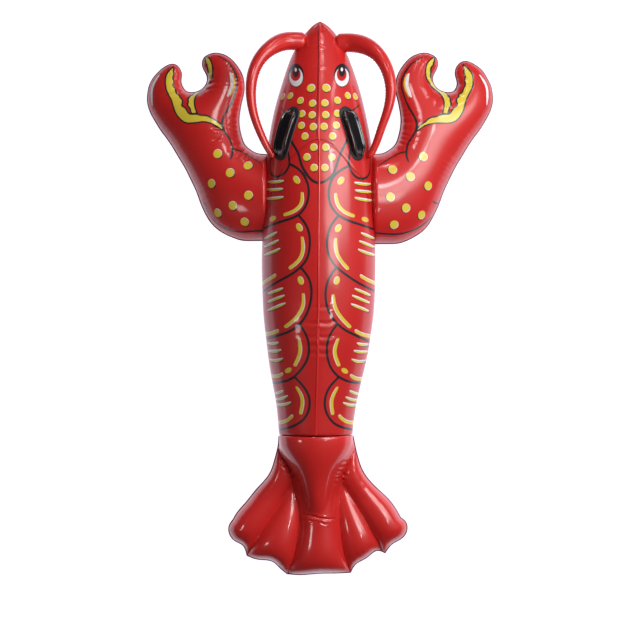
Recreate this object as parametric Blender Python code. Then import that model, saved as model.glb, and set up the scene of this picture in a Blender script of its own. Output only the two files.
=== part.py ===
"""Inflatable lobster pool float, lying on its belly with its printed back up.

Metres, +Z up, the head towards +Y and the tail fan towards -Y. The origin is at the bottom centre of
the float's box. Every chamber is modelled blown up, as a solid out to its vinyl skin.
"""

import math

import bmesh
import bpy
import numpy as np
from mathutils import Vector
from mathutils.geometry import delaunay_2d_cdt

# Driving dimensions
LENGTH = 2.13
NOSE_Y = LENGTH / 2
TAIL_END_Y = -LENGTH / 2
JOINT_Y = -0.528
GAP = 0.0003

# Body: half width along Y, and the heights of its top, its widest line and its underside
BODY_HALF_WIDTH = [
    (NOSE_Y, 0.0), (1.054, 0.021), (1.037, 0.0425), (1.012, 0.064), (0.952, 0.099), (0.864, 0.134), (0.764, 0.1644),
    (0.639, 0.1912), (0.455, 0.2093), (0.209, 0.2177), (0.056, 0.2177), (-0.067, 0.2108),
    (-0.19, 0.1955), (-0.313, 0.1736), (-0.436, 0.1517), (JOINT_Y, 0.1432),
]
BODY_TOP = [
    (NOSE_Y, 0.180), (1.045, 0.207), (1.012, 0.232), (0.93, 0.272), (0.80, 0.323), (0.62, 0.366),
    (0.38, 0.385), (0.10, 0.382), (-0.15, 0.352), (-0.38, 0.300), (JOINT_Y, 0.274),
]
BODY_WIDEST = [(NOSE_Y, 0.180), (0.80, 0.184), (0.40, 0.190), (0.0, 0.184), (-0.30, 0.156), (JOINT_Y, 0.134)]
BODY_UNDER = [
    (NOSE_Y, 0.180), (1.045, 0.156), (1.00, 0.125), (0.90, 0.072), (0.78, 0.022), (0.66, -0.006),
    (0.50, -0.014), (0.0, -0.016), (JOINT_Y, -0.010),
]
ROOF_PEAK = 0.12
# How far the back bends to one side, from the head to the tail
SIDE_BEND = [(NOSE_Y, 0.0), (0.60, -0.002), (0.20, -0.005), (-0.20, -0.008), (JOINT_Y, -0.016), (-0.80, -0.012), (TAIL_END_Y, -0.009)]

# Tail fan: the right half of its outline, in runs that meet at corners, then its weld lines
FAN_RUNS = [
    [(0.1432, JOINT_Y), (0.1530, -0.563), (0.1632, -0.605), (0.1750, -0.647), (0.2208, -0.716),
     (0.2822, -0.778), (0.3300, -0.836), (0.3468, -0.876), (0.3350, -0.918), (0.2860, -0.958), (0.2669, -0.989)],
    [(0.2669, -0.989), (0.2112, -1.0022), (0.1720, -1.012), (0.1400, -1.041), (0.1210, -1.063)],
    [(0.1210, -1.063), (0.060, TAIL_END_Y), (0.0, -1.062)],
]
FAN_WELDS = [
    [(0.0998, -0.712), (0.150, -0.790), (0.205, -0.881), (0.2600, -0.978)],
    [(0.0998, -0.712), (0.0845, -0.762), (0.0718, -0.824), (0.0703, -0.889), (0.0900, -0.990), (0.1180, -1.057)],
]
FAN_SEAM_Z = 0.069
FAN_LOBE = 0.070
FAN_LOBE_HALF_WIDTH = 0.062
FAN_VALLEY = 0.032
# Tongue: the body's tube run on over the fan, as half width and top height along Y
TONGUE_HALF_WIDTH = [(JOINT_Y, 0.1432), (-0.60, 0.1330), (-0.70, 0.1010), (-0.80, 0.0720), (-0.84, 0.0640), (-0.90, 0.060)]
TONGUE_TOP = [(JOINT_Y, 0.272), (-0.60, 0.255), (-0.70, 0.215), (-0.80, 0.172), (-0.84, 0.150), (-0.90, 0.095)]

# Left claw: its outline from the hidden lower corner by the body, round both fingers and back
CLAW_OUTLINE = [
    (-0.182, 0.222), (-0.223, 0.2228), (-0.269, 0.2235), (-0.315, 0.2295), (-0.361, 0.2440),
    (-0.403, 0.2696), (-0.434, 0.3014), (-0.455, 0.3475), (-0.4896, 0.4205), (-0.526, 0.4973),
    (-0.5645, 0.5645), (-0.6106, 0.6355), (-0.647, 0.6970), (-0.6645, 0.7470), (-0.6655, 0.7930),
    (-0.6510, 0.8390), (-0.6220, 0.8775), (-0.5840, 0.9010), (-0.5530, 0.9010), (-0.5330, 0.8795),
    (-0.5335, 0.8390), (-0.5145, 0.8052), (-0.4840, 0.7957), (-0.4530, 0.8102), (-0.4360, 0.8430),
    (-0.4415, 0.8740), (-0.4570, 0.9045), (-0.4474, 0.9331), (-0.4147, 0.9466), (-0.3725, 0.9408),
    (-0.3341, 0.9062), (-0.3034, 0.8563), (-0.2934, 0.8083), (-0.3053, 0.7469), (-0.3141, 0.6854),
    (-0.3053, 0.6317), (-0.2803, 0.5875), (-0.2419, 0.5633), (-0.2074, 0.5587), (-0.165, 0.5580),
]
CLAW_ROOT_X = 0.2035
CLAW_ROOT_Z = 0.160
CLAW_DROOP = 0.165
CLAW_HALF_THICKNESS = 0.110
CLAW_HALF_WIDTH = 0.150
ROOT_LINE = ((-0.2080, 0.5600), (-0.2235, 0.2200))
ROOT_ROUND = 0.024

# Left antenna: its centre line and its radius at the root and at the tip
ANTENNA_LINE = [
    (-0.040, 0.985, 0.186), (-0.0700, 0.987, 0.192), (-0.1229, 0.9876, 0.218), (-0.1997, 0.9658, 0.262),
    (-0.2515, 0.8928, 0.294), (-0.2657, 0.8006, 0.308), (-0.2534, 0.7085, 0.306), (-0.2227, 0.6163, 0.297),
    (-0.1862, 0.5434, 0.288),
]
ANTENNA_ROOT_RADIUS = 0.0330
ANTENNA_TIP_RADIUS = 0.0100
ANTENNA_POINTS = 28

# Handles: moulded vinyl grips, each a flange on the body and a strap over a finger gap
HANDLE_CENTRE = (0.1243, 0.618)
HANDLE_TURN = math.radians(23.0)
FLANGE_HALF_LENGTH = 0.104
FLANGE_HALF_WIDTH = 0.039
FLANGE_THICK = 0.0028
STRAP_HALF_WIDTH = 0.033
STRAP_THICK = 0.007
STRAP_LINE = [(-0.088, 0.0054), (-0.078, 0.0115), (-0.060, 0.0195), (-0.032, 0.0228), (0.0, 0.0232)]

RED = (0.62, 0.022, 0.018)
PLAIN_RED = (0.60, 0.030, 0.024)
BLACK = (0.012, 0.012, 0.013)


def clear_scene():
    for item in list(bpy.data.objects):
        bpy.data.objects.remove(item, do_unlink=True)


def collection(name):
    made = bpy.data.collections.new(name)
    bpy.context.scene.collection.children.link(made)
    return made


def vinyl(name, colour, roughness):
    material = bpy.data.materials.new(name)
    material.use_nodes = True
    shader = material.node_tree.nodes["Principled BSDF"]
    shader.inputs["Base Color"].default_value = (*colour, 1.0)
    shader.inputs["Roughness"].default_value = roughness
    shader.inputs["Metallic"].default_value = 0.0
    return material


def curve_through(knots, count=400):
    """Dense points on a natural cubic spline through the knots, which may have any number of coordinates."""
    knots = np.array(knots, float)
    steps = np.linalg.norm(np.diff(knots, axis=0), axis=1)
    at = np.concatenate([[0.0], np.cumsum(steps)])
    n = len(knots)
    system = np.eye(n)
    right = np.zeros_like(knots)
    for i in range(1, n - 1):
        before, after = steps[i - 1], steps[i]
        system[i, i - 1 : i + 2] = before, 2 * (before + after), after
        right[i] = 6 * ((knots[i + 1] - knots[i]) / after - (knots[i] - knots[i - 1]) / before)
    bend = np.linalg.solve(system, right)
    t = np.linspace(0, at[-1], count)
    i = np.clip(np.searchsorted(at, t, side="right") - 1, 0, n - 2)
    h = steps[i][:, None]
    a = (at[i + 1] - t)[:, None] / h
    b = 1 - a
    return a * knots[i] + b * knots[i + 1] + ((a**3 - a) * bend[i] + (b**3 - b) * bend[i + 1]) * h**2 / 6


def profile(knots):
    """A smooth value along Y, from (Y, value) knots that run from the head to the tail."""
    line = curve_through(knots)[::-1]
    return lambda y: np.interp(y, line[:, 0], line[:, 1])


def evenly(line, pitch):
    """The line again, with points evenly spaced, about a pitch apart."""
    along = np.concatenate([[0.0], np.cumsum(np.linalg.norm(np.diff(line, axis=0), axis=1))])
    count = max(2, int(round(along[-1] / pitch)) + 1)
    at = np.linspace(0, along[-1], count)
    return np.stack([np.interp(at, along, line[:, i]) for i in range(line.shape[1])], axis=1)


half_width_at = profile(BODY_HALF_WIDTH)
top_at = profile(BODY_TOP)
widest_at = profile(BODY_WIDEST)
under_at = profile(BODY_UNDER)
bend_at = profile(SIDE_BEND)
tongue_half_width_at = profile(TONGUE_HALF_WIDTH)
tongue_top_at = profile(TONGUE_TOP)


def arch(share):
    """Height of the upper half of a section, from 1 at the middle to 0 at the side, with a slight roof peak."""
    outer = np.clip((np.abs(share) + ROOF_PEAK) / (1 + ROOF_PEAK), 0, 1)
    return np.sqrt(1 - outer**2) / math.sqrt(1 - (ROOF_PEAK / (1 + ROOF_PEAK)) ** 2)


def body_section(y, angles, grow=0.0):
    """Points (x, z) round the body at y. Angle 0 is the top and a quarter turn is +X."""
    wide = half_width_at(y) + grow
    top, widest, under = top_at(y) + grow, widest_at(y), under_at(y) - grow
    share = np.sin(angles)
    upper = widest + (top - widest) * arch(share)
    lower = widest + (widest - under) * np.cos(angles)
    z = np.where(np.cos(angles) > 0, upper, np.maximum(lower, 0.0))
    return wide * share, z


def body_top_z(x, y):
    """Height of the body's upper skin over a point in plan."""
    share = (x - bend_at(y)) / half_width_at(y)
    return widest_at(y) + (top_at(y) - widest_at(y)) * arch(share)


def link(name, mesh, group, material=None):
    made = bpy.data.objects.new(name, mesh)
    group.objects.link(made)
    if material:
        mesh.materials.append(material)
    mesh.shade_smooth()
    mesh.set_sharp_from_angle(angle=math.radians(50))
    return made


def mesh_from(name, verts, faces):
    mesh = bpy.data.meshes.new(name)
    mesh.from_pydata([tuple(map(float, v)) for v in verts], [], [tuple(map(int, f)) for f in faces])
    work = bmesh.new()
    work.from_mesh(mesh)
    bmesh.ops.remove_doubles(work, verts=work.verts, dist=1e-6)
    bmesh.ops.recalc_face_normals(work, faces=work.faces)
    work.to_mesh(mesh)
    work.free()
    return mesh


def loft(name, rings, tip=None):
    """A closed mesh through rings of the same number of points, capped at the first and at the last or at a tip."""
    size = len(rings[0])
    verts = [p for ring in rings for p in ring]
    faces = []
    for i in range(len(rings) - 1):
        for j in range(size):
            k = (j + 1) % size
            faces.append((i * size + j, i * size + k, (i + 1) * size + k, (i + 1) * size + j))
    faces.append(tuple(range(size)))
    last = (len(rings) - 1) * size
    if tip is None:
        faces.append(tuple(last + j for j in range(size)))
    else:
        verts.append(tip)
        faces += [(last + j, last + (j + 1) % size, len(verts) - 1) for j in range(size)]
    return mesh_from(name, verts, faces)


def body_mesh(name, grow=0.0, stations=31, around=30):
    """The body's tube. With grow it is the cutter that leaves a gap round it."""
    share = np.linspace(0, 1, stations + 1)[:-1]
    length = NOSE_Y - JOINT_Y
    ys = JOINT_Y + length * (1 - (1 - share) ** 1.35)
    angles = np.linspace(0, 2 * math.pi, around, endpoint=False)
    rings = []
    for y in ys:
        x, z = body_section(y, angles, grow)
        rings.append(np.stack([x + bend_at(y), np.full(around, y), z - (grow if grow else 0)], axis=1))
    return loft(name, rings, tip=(float(bend_at(NOSE_Y)), NOSE_Y + 2 * grow, float(widest_at(NOSE_Y))))


def distance_to(points, line):
    """Distance in plan of each point from a chain of segments."""
    start, step = line[:-1], np.diff(line, axis=0)
    best = np.full(len(points), np.inf)
    for a, d in zip(start, step):
        along = np.clip(((points - a) @ d) / (d @ d), 0, 1)
        best = np.minimum(best, np.linalg.norm(points - a - along[:, None] * d, axis=1))
    return best


def inside(points, loop):
    """Which points lie in a closed outline."""
    result = np.zeros(len(points), bool)
    for (x0, y0), (x1, y1) in zip(loop, np.roll(loop, -1, axis=0)):
        if y0 == y1:
            continue
        crosses = (points[:, 1] > min(y0, y1)) & (points[:, 1] <= max(y0, y1))
        at = x0 + (points[:, 1] - y0) * (x1 - x0) / (y1 - y0)
        result ^= crosses & (points[:, 0] < at)
    return result


def triangulate(loop, welds, pitch):
    """Triangles that fill a closed outline, with edges along the weld lines and finer rows beside them."""
    lines = [np.vstack([loop, loop[:1]]), *welds]
    fixed, edges = [], []
    for index, line in enumerate(lines):
        first = len(fixed)
        points = line[:-1] if index == 0 else line
        fixed += list(points)
        edges += [(first + i, first + i + 1) for i in range(len(points) - 1)]
        if index == 0:
            edges.append((first + len(points) - 1, first))
    low, high = loop.min(axis=0), loop.max(axis=0)
    across = np.arange(low[0], high[0], pitch)
    rows = np.arange(low[1], high[1], pitch * math.sqrt(3) / 2)
    grid = [(x + (pitch / 2 if i % 2 else 0), y) for i, y in enumerate(rows) for x in across]
    free = np.array(grid)
    near = np.min([distance_to(free, line) for line in lines], axis=0)
    free = free[inside(free, loop) & (near > 0.9 * pitch)]
    beside = []
    for line in lines:
        direction = np.gradient(line, axis=0)
        normal = np.stack([-direction[:, 1], direction[:, 0]], axis=1)
        normal /= np.linalg.norm(normal, axis=1)[:, None]
        for share in (0.12, 0.45):
            for side in (-1, 1):
                beside.append((share * pitch, line + side * share * pitch * normal))
    for step, points in beside:
        near = np.min([distance_to(points, line) for line in lines], axis=0)
        keep = inside(points, loop) & (near > 0.9 * step)
        free = np.vstack([free, points[keep]])
    coordinates = [Vector(p) for p in np.vstack([fixed, free])]
    verts, _, faces, *_ = delaunay_2d_cdt(coordinates, edges, [], 1, 1e-6)
    return np.array([tuple(v) for v in verts]), np.array([tuple(f) for f in faces])


def membrane(verts, faces, held):
    """Swelling of a sheet that is held at some points: the square root of twice the solution of Poisson's equation."""
    n = len(verts)
    rows, columns, weights = [], [], []
    for i in range(3):
        a, b, c = (verts[faces[:, (i + k) % 3]] for k in range(3))
        cross = (b - a)[:, 0] * (c - a)[:, 1] - (b - a)[:, 1] * (c - a)[:, 0]
        cotangent = ((b - a) * (c - a)).sum(axis=1) / np.maximum(np.abs(cross), 1e-12)
        rows.append(faces[:, (i + 1) % 3])
        columns.append(faces[:, (i + 2) % 3])
        weights.append(0.5 * np.abs(cotangent) * np.sign(cotangent))
    rows, columns, weights = map(np.concatenate, (rows, columns, weights))
    a, b, c = (verts[faces[:, k]] for k in range(3))
    area = 0.5 * np.abs((b - a)[:, 0] * (c - a)[:, 1] - (b - a)[:, 1] * (c - a)[:, 0])
    load = sum(np.bincount(faces[:, k], area / 3, n) for k in range(3))
    diagonal = np.bincount(rows, weights, n) + np.bincount(columns, weights, n)
    free = ~held

    def apply(u):
        flow = np.bincount(rows, weights * u[columns], n) + np.bincount(columns, weights * u[rows], n)
        return (diagonal * u - flow) * free

    u = np.zeros(n)
    left = load * free
    scale = np.where(free, 1 / np.maximum(diagonal, 1e-9), 0)
    search = scale * left
    size = left @ search
    for _ in range(3000):
        pushed = apply(search)
        step = size / (search @ pushed)
        u += step * search
        left -= step * pushed
        fresh = scale * left
        new_size = left @ fresh
        if new_size < 1e-22:
            break
        search = fresh + (new_size / size) * search
        size = new_size
    return np.sqrt(2 * np.maximum(u, 0))


def two_sided(name, verts, faces, top, under, seam):
    """A closed solid between two heights over a plan. Points of the seam belong to both sides."""
    n = len(verts)
    joined = seam & (top - under < 1e-6)
    upper = np.column_stack([verts, top])
    lower = np.column_stack([verts, under])
    low_index = np.where(joined, np.arange(n), n + np.arange(n))
    quads = []
    ends = np.concatenate([faces[:, [0, 1]], faces[:, [1, 2]], faces[:, [2, 0]]])
    ordered = np.sort(ends, axis=1)
    _, first, count = np.unique(ordered, axis=0, return_index=True, return_counts=True)
    for i, j in ends[first[count == 1]]:
        corners = [i, j, low_index[j], low_index[i]]
        wall = [c for k, c in enumerate(corners) if c not in corners[:k]]
        if len(wall) > 2:
            quads.append(tuple(wall))
    bottom = [tuple(low_index[list(f)][::-1]) for f in faces]
    mesh = mesh_from(name, np.vstack([upper, lower]), [tuple(f) for f in faces] + bottom + quads)
    work = bmesh.new()
    work.from_mesh(mesh)
    bmesh.ops.delete(work, geom=[v for v in work.verts if not v.link_faces], context="VERTS")
    work.to_mesh(mesh)
    work.free()
    return mesh


def claw_mesh(side, pitch=0.033):
    """A claw, side -1 for the left and 1 for the right. Its root runs into the body, which is cut away later."""
    dense = curve_through(CLAW_OUTLINE, 1200)
    loop = evenly(dense, pitch * 0.8)
    root = np.array([loop[-1], loop[0]])
    loop = np.vstack([loop, evenly(root, pitch * 0.8)[1:-1]])
    verts, faces = triangulate(loop, [], pitch)
    on_edge = distance_to(verts, np.vstack([loop, loop[:1]])) < 1e-6
    on_root = distance_to(verts, root) < 1e-6
    corner = np.minimum(*(np.linalg.norm(verts - end, axis=1) for end in root)) < 1e-6
    held = on_edge & (~on_root | corner)
    swell = membrane(verts, faces, held)
    height = CLAW_HALF_THICKNESS * swell / CLAW_HALF_WIDTH
    start, end = (np.array(p) for p in ROOT_LINE)
    normal = np.array([end[1] - start[1], start[0] - end[0]])
    normal /= np.linalg.norm(normal)
    away = np.clip((verts - start) @ normal, 0, ROOT_ROUND)
    dip = ROOT_ROUND - np.sqrt(ROOT_ROUND**2 - (ROOT_ROUND - away) ** 2)
    height = np.where(height > 2 * dip, height - dip, height / 2)
    height[held] = 0
    seam = CLAW_ROOT_Z - CLAW_DROOP * (-verts[:, 0] - CLAW_ROOT_X)
    plan = verts * [-side, 1]
    name = "claw_left" if side < 0 else "claw_right"
    return two_sided(name, plan, faces, seam + height, seam - height, held)


def fan_outline(pitch):
    """The whole outline of the tail fan, with its corners kept."""
    right = []
    for run in FAN_RUNS:
        right += list(evenly(curve_through(run, 300), pitch)[:-1])
    right.append(FAN_RUNS[-1][-1])
    right = np.array(right)
    left = right[-2::-1] * [-1, 1]
    edge = evenly(np.array([left[-1], right[0]]), pitch)[1:-1]
    return np.vstack([right, left, edge])


def fan_mesh(pitch=0.0275):
    """The tail fan: five lobes between four welds, under the tongue that runs on from the body."""
    loop = fan_outline(pitch)
    welds = []
    for knots in FAN_WELDS:
        line = evenly(curve_through(knots), pitch)
        welds += [line, line * [-1, 1]]
    verts, faces = triangulate(loop, welds, pitch)
    on_edge = distance_to(verts, np.vstack([loop, loop[:1]])) < 1e-6
    on_weld = np.min([distance_to(verts, line) for line in welds], axis=0) < 1e-6
    swell = membrane(verts, faces, on_edge | on_weld)
    valley = FAN_VALLEY * (1 - np.exp(-distance_to(verts, loop) / 0.045))
    lobe = valley + (FAN_LOBE - valley) * (swell / FAN_LOBE_HALF_WIDTH) ** 1.2
    lobe[on_edge] = 0
    x, y = verts[:, 0], verts[:, 1]
    fall = np.clip((JOINT_Y - y) / 0.26, 0, 1)
    fall = fall * fall * (3 - 2 * fall)
    seam = widest_at(JOINT_Y) + (FAN_SEAM_Z - widest_at(JOINT_Y)) * fall
    across = np.clip(np.abs(x) / tongue_half_width_at(y), 0, 1)
    over = np.where(y > -0.90, arch(across) * (tongue_top_at(y) - seam), 0)
    below = np.where(y > -0.90, np.sqrt(1 - across**2) * (seam + 0.010) * (1 - fall), 0)
    top = seam + np.maximum(lobe, over)
    under = np.maximum(seam - np.maximum(lobe, below), 0)
    free = on_edge & (np.abs(y - JOINT_Y) > 1e-6)
    corner = on_edge & (np.abs(np.abs(x) - FAN_RUNS[0][0][0]) < 1e-6) & ~free
    top[free | corner] = under[free | corner] = seam[free | corner]
    plan = np.column_stack([x + bend_at(y), np.where(y > JOINT_Y - 1e-6, JOINT_Y - GAP, y)])
    return two_sided("tail_fan", plan, faces, top, under, on_edge)


def antenna(side, group, material):
    """A tapered tube on a curve. Its root is sunk in the nose, which is cut away from it later."""
    line = evenly(curve_through(ANTENNA_LINE), 0.0001)
    line = line[np.linspace(0, len(line) - 1, ANTENNA_POINTS).astype(int)]
    data = bpy.data.curves.new("antenna", "CURVE")
    data.dimensions = "3D"
    data.bevel_depth = ANTENNA_ROOT_RADIUS
    data.bevel_resolution = 2
    data.use_fill_caps = True
    spline = data.splines.new("POLY")
    spline.points.add(ANTENNA_POINTS - 1)
    for i, (x, y, z) in enumerate(line):
        share = i / (ANTENNA_POINTS - 1)
        taper = 1 + (ANTENNA_TIP_RADIUS / ANTENNA_ROOT_RADIUS - 1) * share**0.85
        end = min(1.0, (ANTENNA_POINTS - 1 - i + 0.25) / 1.25)
        spline.points[i].co = (-side * x, y, z, 1.0)
        spline.points[i].radius = taper * math.sqrt(1 - (1 - end) ** 2)
    rough = bpy.data.objects.new("antenna", data)
    group.objects.link(rough)
    bpy.context.view_layer.update()
    graph = bpy.context.evaluated_depsgraph_get()
    mesh = bpy.data.meshes.new_from_object(rough.evaluated_get(graph))
    bpy.data.objects.remove(rough)
    work = bmesh.new()
    work.from_mesh(mesh)
    bmesh.ops.remove_doubles(work, verts=work.verts, dist=1e-5)
    bmesh.ops.recalc_face_normals(work, faces=work.faces)
    work.to_mesh(mesh)
    work.free()
    return link("antenna_left" if side < 0 else "antenna_right", mesh, group, material)


def handle_frame(side):
    """Centre on the body's skin, then the directions along the handle, across it outwards, and up from the skin."""
    x, y = HANDLE_CENTRE[0] * side, HANDLE_CENTRE[1]
    small = 0.002
    centre = np.array([x, y, float(body_top_z(x, y))])
    slope_x = (body_top_z(x + small, y) - body_top_z(x - small, y)) / (2 * small)
    slope_y = (body_top_z(x, y + small) - body_top_z(x, y - small)) / (2 * small)
    up = np.array([-slope_x, -slope_y, 1.0])
    up /= np.linalg.norm(up)
    along = np.array([-side * math.sin(HANDLE_TURN), math.cos(HANDLE_TURN), 0.0])
    along -= up * (along @ up)
    along /= np.linalg.norm(along)
    across = np.cross(along, up) * side
    return centre, along, across, up


def on_skin(frame, a, b, lift):
    """A point a along and b across a handle, lifted off the body's skin."""
    centre, along, across, up = frame
    point = centre + a * along + b * across
    for _ in range(12):
        point = point - up * (point[2] - float(body_top_z(point[0], point[1]))) * up[2]
    return point + up * lift


def stadium(half_length, half_width, pitch):
    """Points evenly spaced round a strip with round ends."""
    turn = np.linspace(-math.pi / 2, math.pi / 2, 60)
    end = np.column_stack([half_length - half_width + half_width * np.cos(turn), half_width * np.sin(turn)])
    return evenly(np.vstack([end, -end, end[:1]]), pitch)[:-1]


def handle(side, group, material):
    """One moulded handle: a flange that follows the body and a strap that arches over a finger gap."""
    frame = handle_frame(side)
    outline = stadium(FLANGE_HALF_LENGTH, FLANGE_HALF_WIDTH, 0.018)
    rings = [outline * share for share in (0.0, 0.35, 0.7, 1.0)]
    verts, faces = [], []
    size = len(rings[1])
    for lift in (2 * GAP, FLANGE_THICK):
        verts.append(on_skin(frame, 0, 0, lift))
        for ring in rings[1:]:
            verts += [on_skin(frame, a, b, lift) for a, b in ring]
    layer = 1 + size * 3
    for base in (0, layer):
        faces += [(base, base + 1 + j, base + 1 + (j + 1) % size) for j in range(size)]
        for i in range(2):
            first = base + 1 + i * size
            faces += [(first + j, first + (j + 1) % size, first + size + (j + 1) % size, first + size + j) for j in range(size)]
    rim = 1 + 2 * size
    faces += [(rim + j, rim + (j + 1) % size, layer + rim + (j + 1) % size, layer + rim + j) for j in range(size)]
    name = "handle_left" if side < 0 else "handle_right"
    flange = link(name, mesh_from(name, verts, faces), group, material)

    half = curve_through(STRAP_LINE, 60)
    path = evenly(np.vstack([half, half[-2::-1] * [-1, 1]]), 0.0165)
    sections = []
    for i, (a, h) in enumerate(path):
        direction = path[min(i + 1, len(path) - 1)] - path[max(i - 1, 0)]
        direction /= np.linalg.norm(direction)
        thick = np.array([-direction[1], direction[0]])
        narrow = min(1.0, 0.62 + 0.38 * (FLANGE_HALF_LENGTH - abs(a)) / 0.05)
        ring = []
        for j in range(12):
            angle = 2 * math.pi * (j + 0.5) / 12
            wide = STRAP_HALF_WIDTH * narrow * math.copysign(abs(math.cos(angle)) ** 0.6, math.cos(angle))
            high = STRAP_THICK / 2 * math.copysign(abs(math.sin(angle)) ** 0.7, math.sin(angle))
            shift, lift = np.array([a, h]) + thick * high
            ring.append(on_skin(frame, shift, wide, lift))
        sections.append(ring)
    strap = link(name + "_strap", loft(name + "_strap", sections), group)
    join(flange, strap, "UNION", group)
    return flange


def join(target, other, operation, group):
    """Cuts or unites by a Boolean, and leaves the other object as a hidden cutter."""
    modifier = target.modifiers.new(operation.lower(), "BOOLEAN")
    modifier.operation = operation
    modifier.object = other
    modifier.solver = "EXACT"
    other.hide_render = True
    other.display_type = "WIRE"
    if group is not cutters:
        group.objects.unlink(other)
        cutters.objects.link(other)


clear_scene()
lobster = collection("inflatable_lobster")
cutters = collection("cutters")
printed = vinyl("printed_red_vinyl", RED, 0.22)
plain = vinyl("plain_red_vinyl", PLAIN_RED, 0.24)
black = vinyl("black_vinyl", BLACK, 0.30)

link("body", body_mesh("body"), lobster, printed)
body_cutter = link("body_cutter", body_mesh("body_cutter", grow=2 * GAP), cutters)
body_cutter.hide_render = True
body_cutter.display_type = "WIRE"
link("tail_fan", fan_mesh(), lobster, plain)
for hand in (-1, 1):
    claw = link("claw_left" if hand < 0 else "claw_right", claw_mesh(hand), lobster, printed)
    join(claw, body_cutter, "DIFFERENCE", cutters)
    feeler = antenna(hand, lobster, plain)
    join(feeler, body_cutter, "DIFFERENCE", cutters)
    handle(hand, lobster, black)
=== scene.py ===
"""Looks of the inflatable lobster pool float: blown-up vinyl skins with welds, puckers and a printed pattern."""

import math

import bmesh
import bpy
import numpy as np
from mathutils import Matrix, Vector, kdtree
from mathutils.geometry import delaunay_2d_cdt


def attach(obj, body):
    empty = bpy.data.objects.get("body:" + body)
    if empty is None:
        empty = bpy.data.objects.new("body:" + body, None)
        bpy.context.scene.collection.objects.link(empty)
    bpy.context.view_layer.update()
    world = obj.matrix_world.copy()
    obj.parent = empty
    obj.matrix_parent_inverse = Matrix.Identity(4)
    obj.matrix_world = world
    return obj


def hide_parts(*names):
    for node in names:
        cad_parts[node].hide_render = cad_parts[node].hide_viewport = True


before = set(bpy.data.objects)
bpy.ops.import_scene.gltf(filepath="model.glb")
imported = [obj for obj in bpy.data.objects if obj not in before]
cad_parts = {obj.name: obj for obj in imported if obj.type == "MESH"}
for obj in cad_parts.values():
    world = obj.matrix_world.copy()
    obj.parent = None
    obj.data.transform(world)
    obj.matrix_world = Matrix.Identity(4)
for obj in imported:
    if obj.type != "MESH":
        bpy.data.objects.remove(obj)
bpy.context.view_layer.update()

# The view: an overhead camera with a square frame of FRAME pixels, one of which covers PIXEL metres at the height
# PLANE_Z. View pixels are counted from the middle of the first one, and Y = 0 lies on ORIGIN_ROW.
CAMERA_Z = 8.0
PLANE_Z = 0.15
PIXEL = 0.003861
FRAME = 640
MIDDLE = (FRAME - 1) / 2
ORIGIN_ROW = 298.3
CAMERA_Y = (ORIGIN_ROW - MIDDLE) * PIXEL

# Body, as in the CAD model: half width along Y, then the heights of its top, widest line and underside
NOSE_Y = 1.065
JOINT_Y = -0.528
TAIL_END_Y = -1.065
BODY_HALF_WIDTH = [
    (NOSE_Y, 0.0), (1.054, 0.021), (1.037, 0.0425), (1.012, 0.064), (0.952, 0.099), (0.864, 0.134), (0.764, 0.1644),
    (0.639, 0.1912), (0.455, 0.2093), (0.209, 0.2177), (0.056, 0.2177), (-0.067, 0.2108),
    (-0.19, 0.1955), (-0.313, 0.1736), (-0.436, 0.1517), (JOINT_Y, 0.1432),
]
BODY_TOP = [
    (NOSE_Y, 0.180), (1.045, 0.207), (1.012, 0.232), (0.93, 0.272), (0.80, 0.323), (0.62, 0.366),
    (0.38, 0.385), (0.10, 0.382), (-0.15, 0.352), (-0.38, 0.300), (JOINT_Y, 0.274),
]
BODY_WIDEST = [(NOSE_Y, 0.180), (0.80, 0.184), (0.40, 0.190), (0.0, 0.184), (-0.30, 0.156), (JOINT_Y, 0.134)]
BODY_UNDER = [
    (NOSE_Y, 0.180), (1.045, 0.156), (1.00, 0.125), (0.90, 0.072), (0.78, 0.022), (0.66, -0.006),
    (0.50, -0.014), (0.0, -0.016), (JOINT_Y, -0.010),
]
# How sharply the back's section peaks in its middle
ROOF_PEAK = 0.12
# How far the joint with the tail lies towards the head from JOINT_Y
JOINT_SHIFT = 0.0062
# Sideways bend of the middle line along Y
SIDE_BEND = [
    (NOSE_Y, 0.0), (0.60, -0.002), (0.20, -0.005), (-0.20, -0.008), (JOINT_Y, -0.016), (-0.80, -0.012),
    (TAIL_END_Y, -0.009),
]

# Claws: outlines in view pixels, from the lower corner by the body round both fingers and back.
# The right claw is written as its mirror image, so both run over the same columns.
CLAW_START = [(270, 240.4), (262, 240.4), (250, 240.5), (241, 240), (233, 237.5), (225, 234), (217, 229), (210, 222)]
CLAW_START_RIGHT = [
    (270, 243.8), (262, 243.6), (250, 243.6), (241, 243), (233, 240.5), (225, 236.5), (217, 231), (210, 223),
]
CLAW_SIDE = [
    (205, 214), (200, 203), (196, 192), (190, 179), (184, 167), (178, 157), (172, 147), (166, 138), (160, 130),
    (155, 122), (150, 113), (147.5, 106), (146.5, 99), (147, 92), (148.5, 85), (152, 78),
]
OUTER_FINGER = [
    (157, 72), (162, 67.5), (167, 64.5), (172, 63.2), (177, 65), (180, 69), (181.5, 74), (181, 81), (183, 87),
    (186, 90.5),
]
OUTER_FINGER_RIGHT = [
    (157, 70), (163, 65), (170, 61.2), (176, 60.5), (181.5, 64), (184.5, 70), (184.3, 76), (182.8, 82), (183.6, 87),
    (187, 91),
]
CLAW_END = [
    (190, 91.6), (196, 91), (201, 88.5), (205, 84), (206.5, 78), (205, 73), (202, 67), (201.5, 62), (203, 57.5),
    (208, 53.8), (213, 52.3), (220, 52.8), (225, 54.5), (231, 58.5), (236, 64), (240, 70), (243, 77), (244, 83),
    (244, 91), (242, 100), (240, 110), (239, 120), (240, 130), (242, 138), (245, 144.5), (250, 149), (256, 152.4),
    (262, 153.4), (270, 153.8),
]
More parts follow.
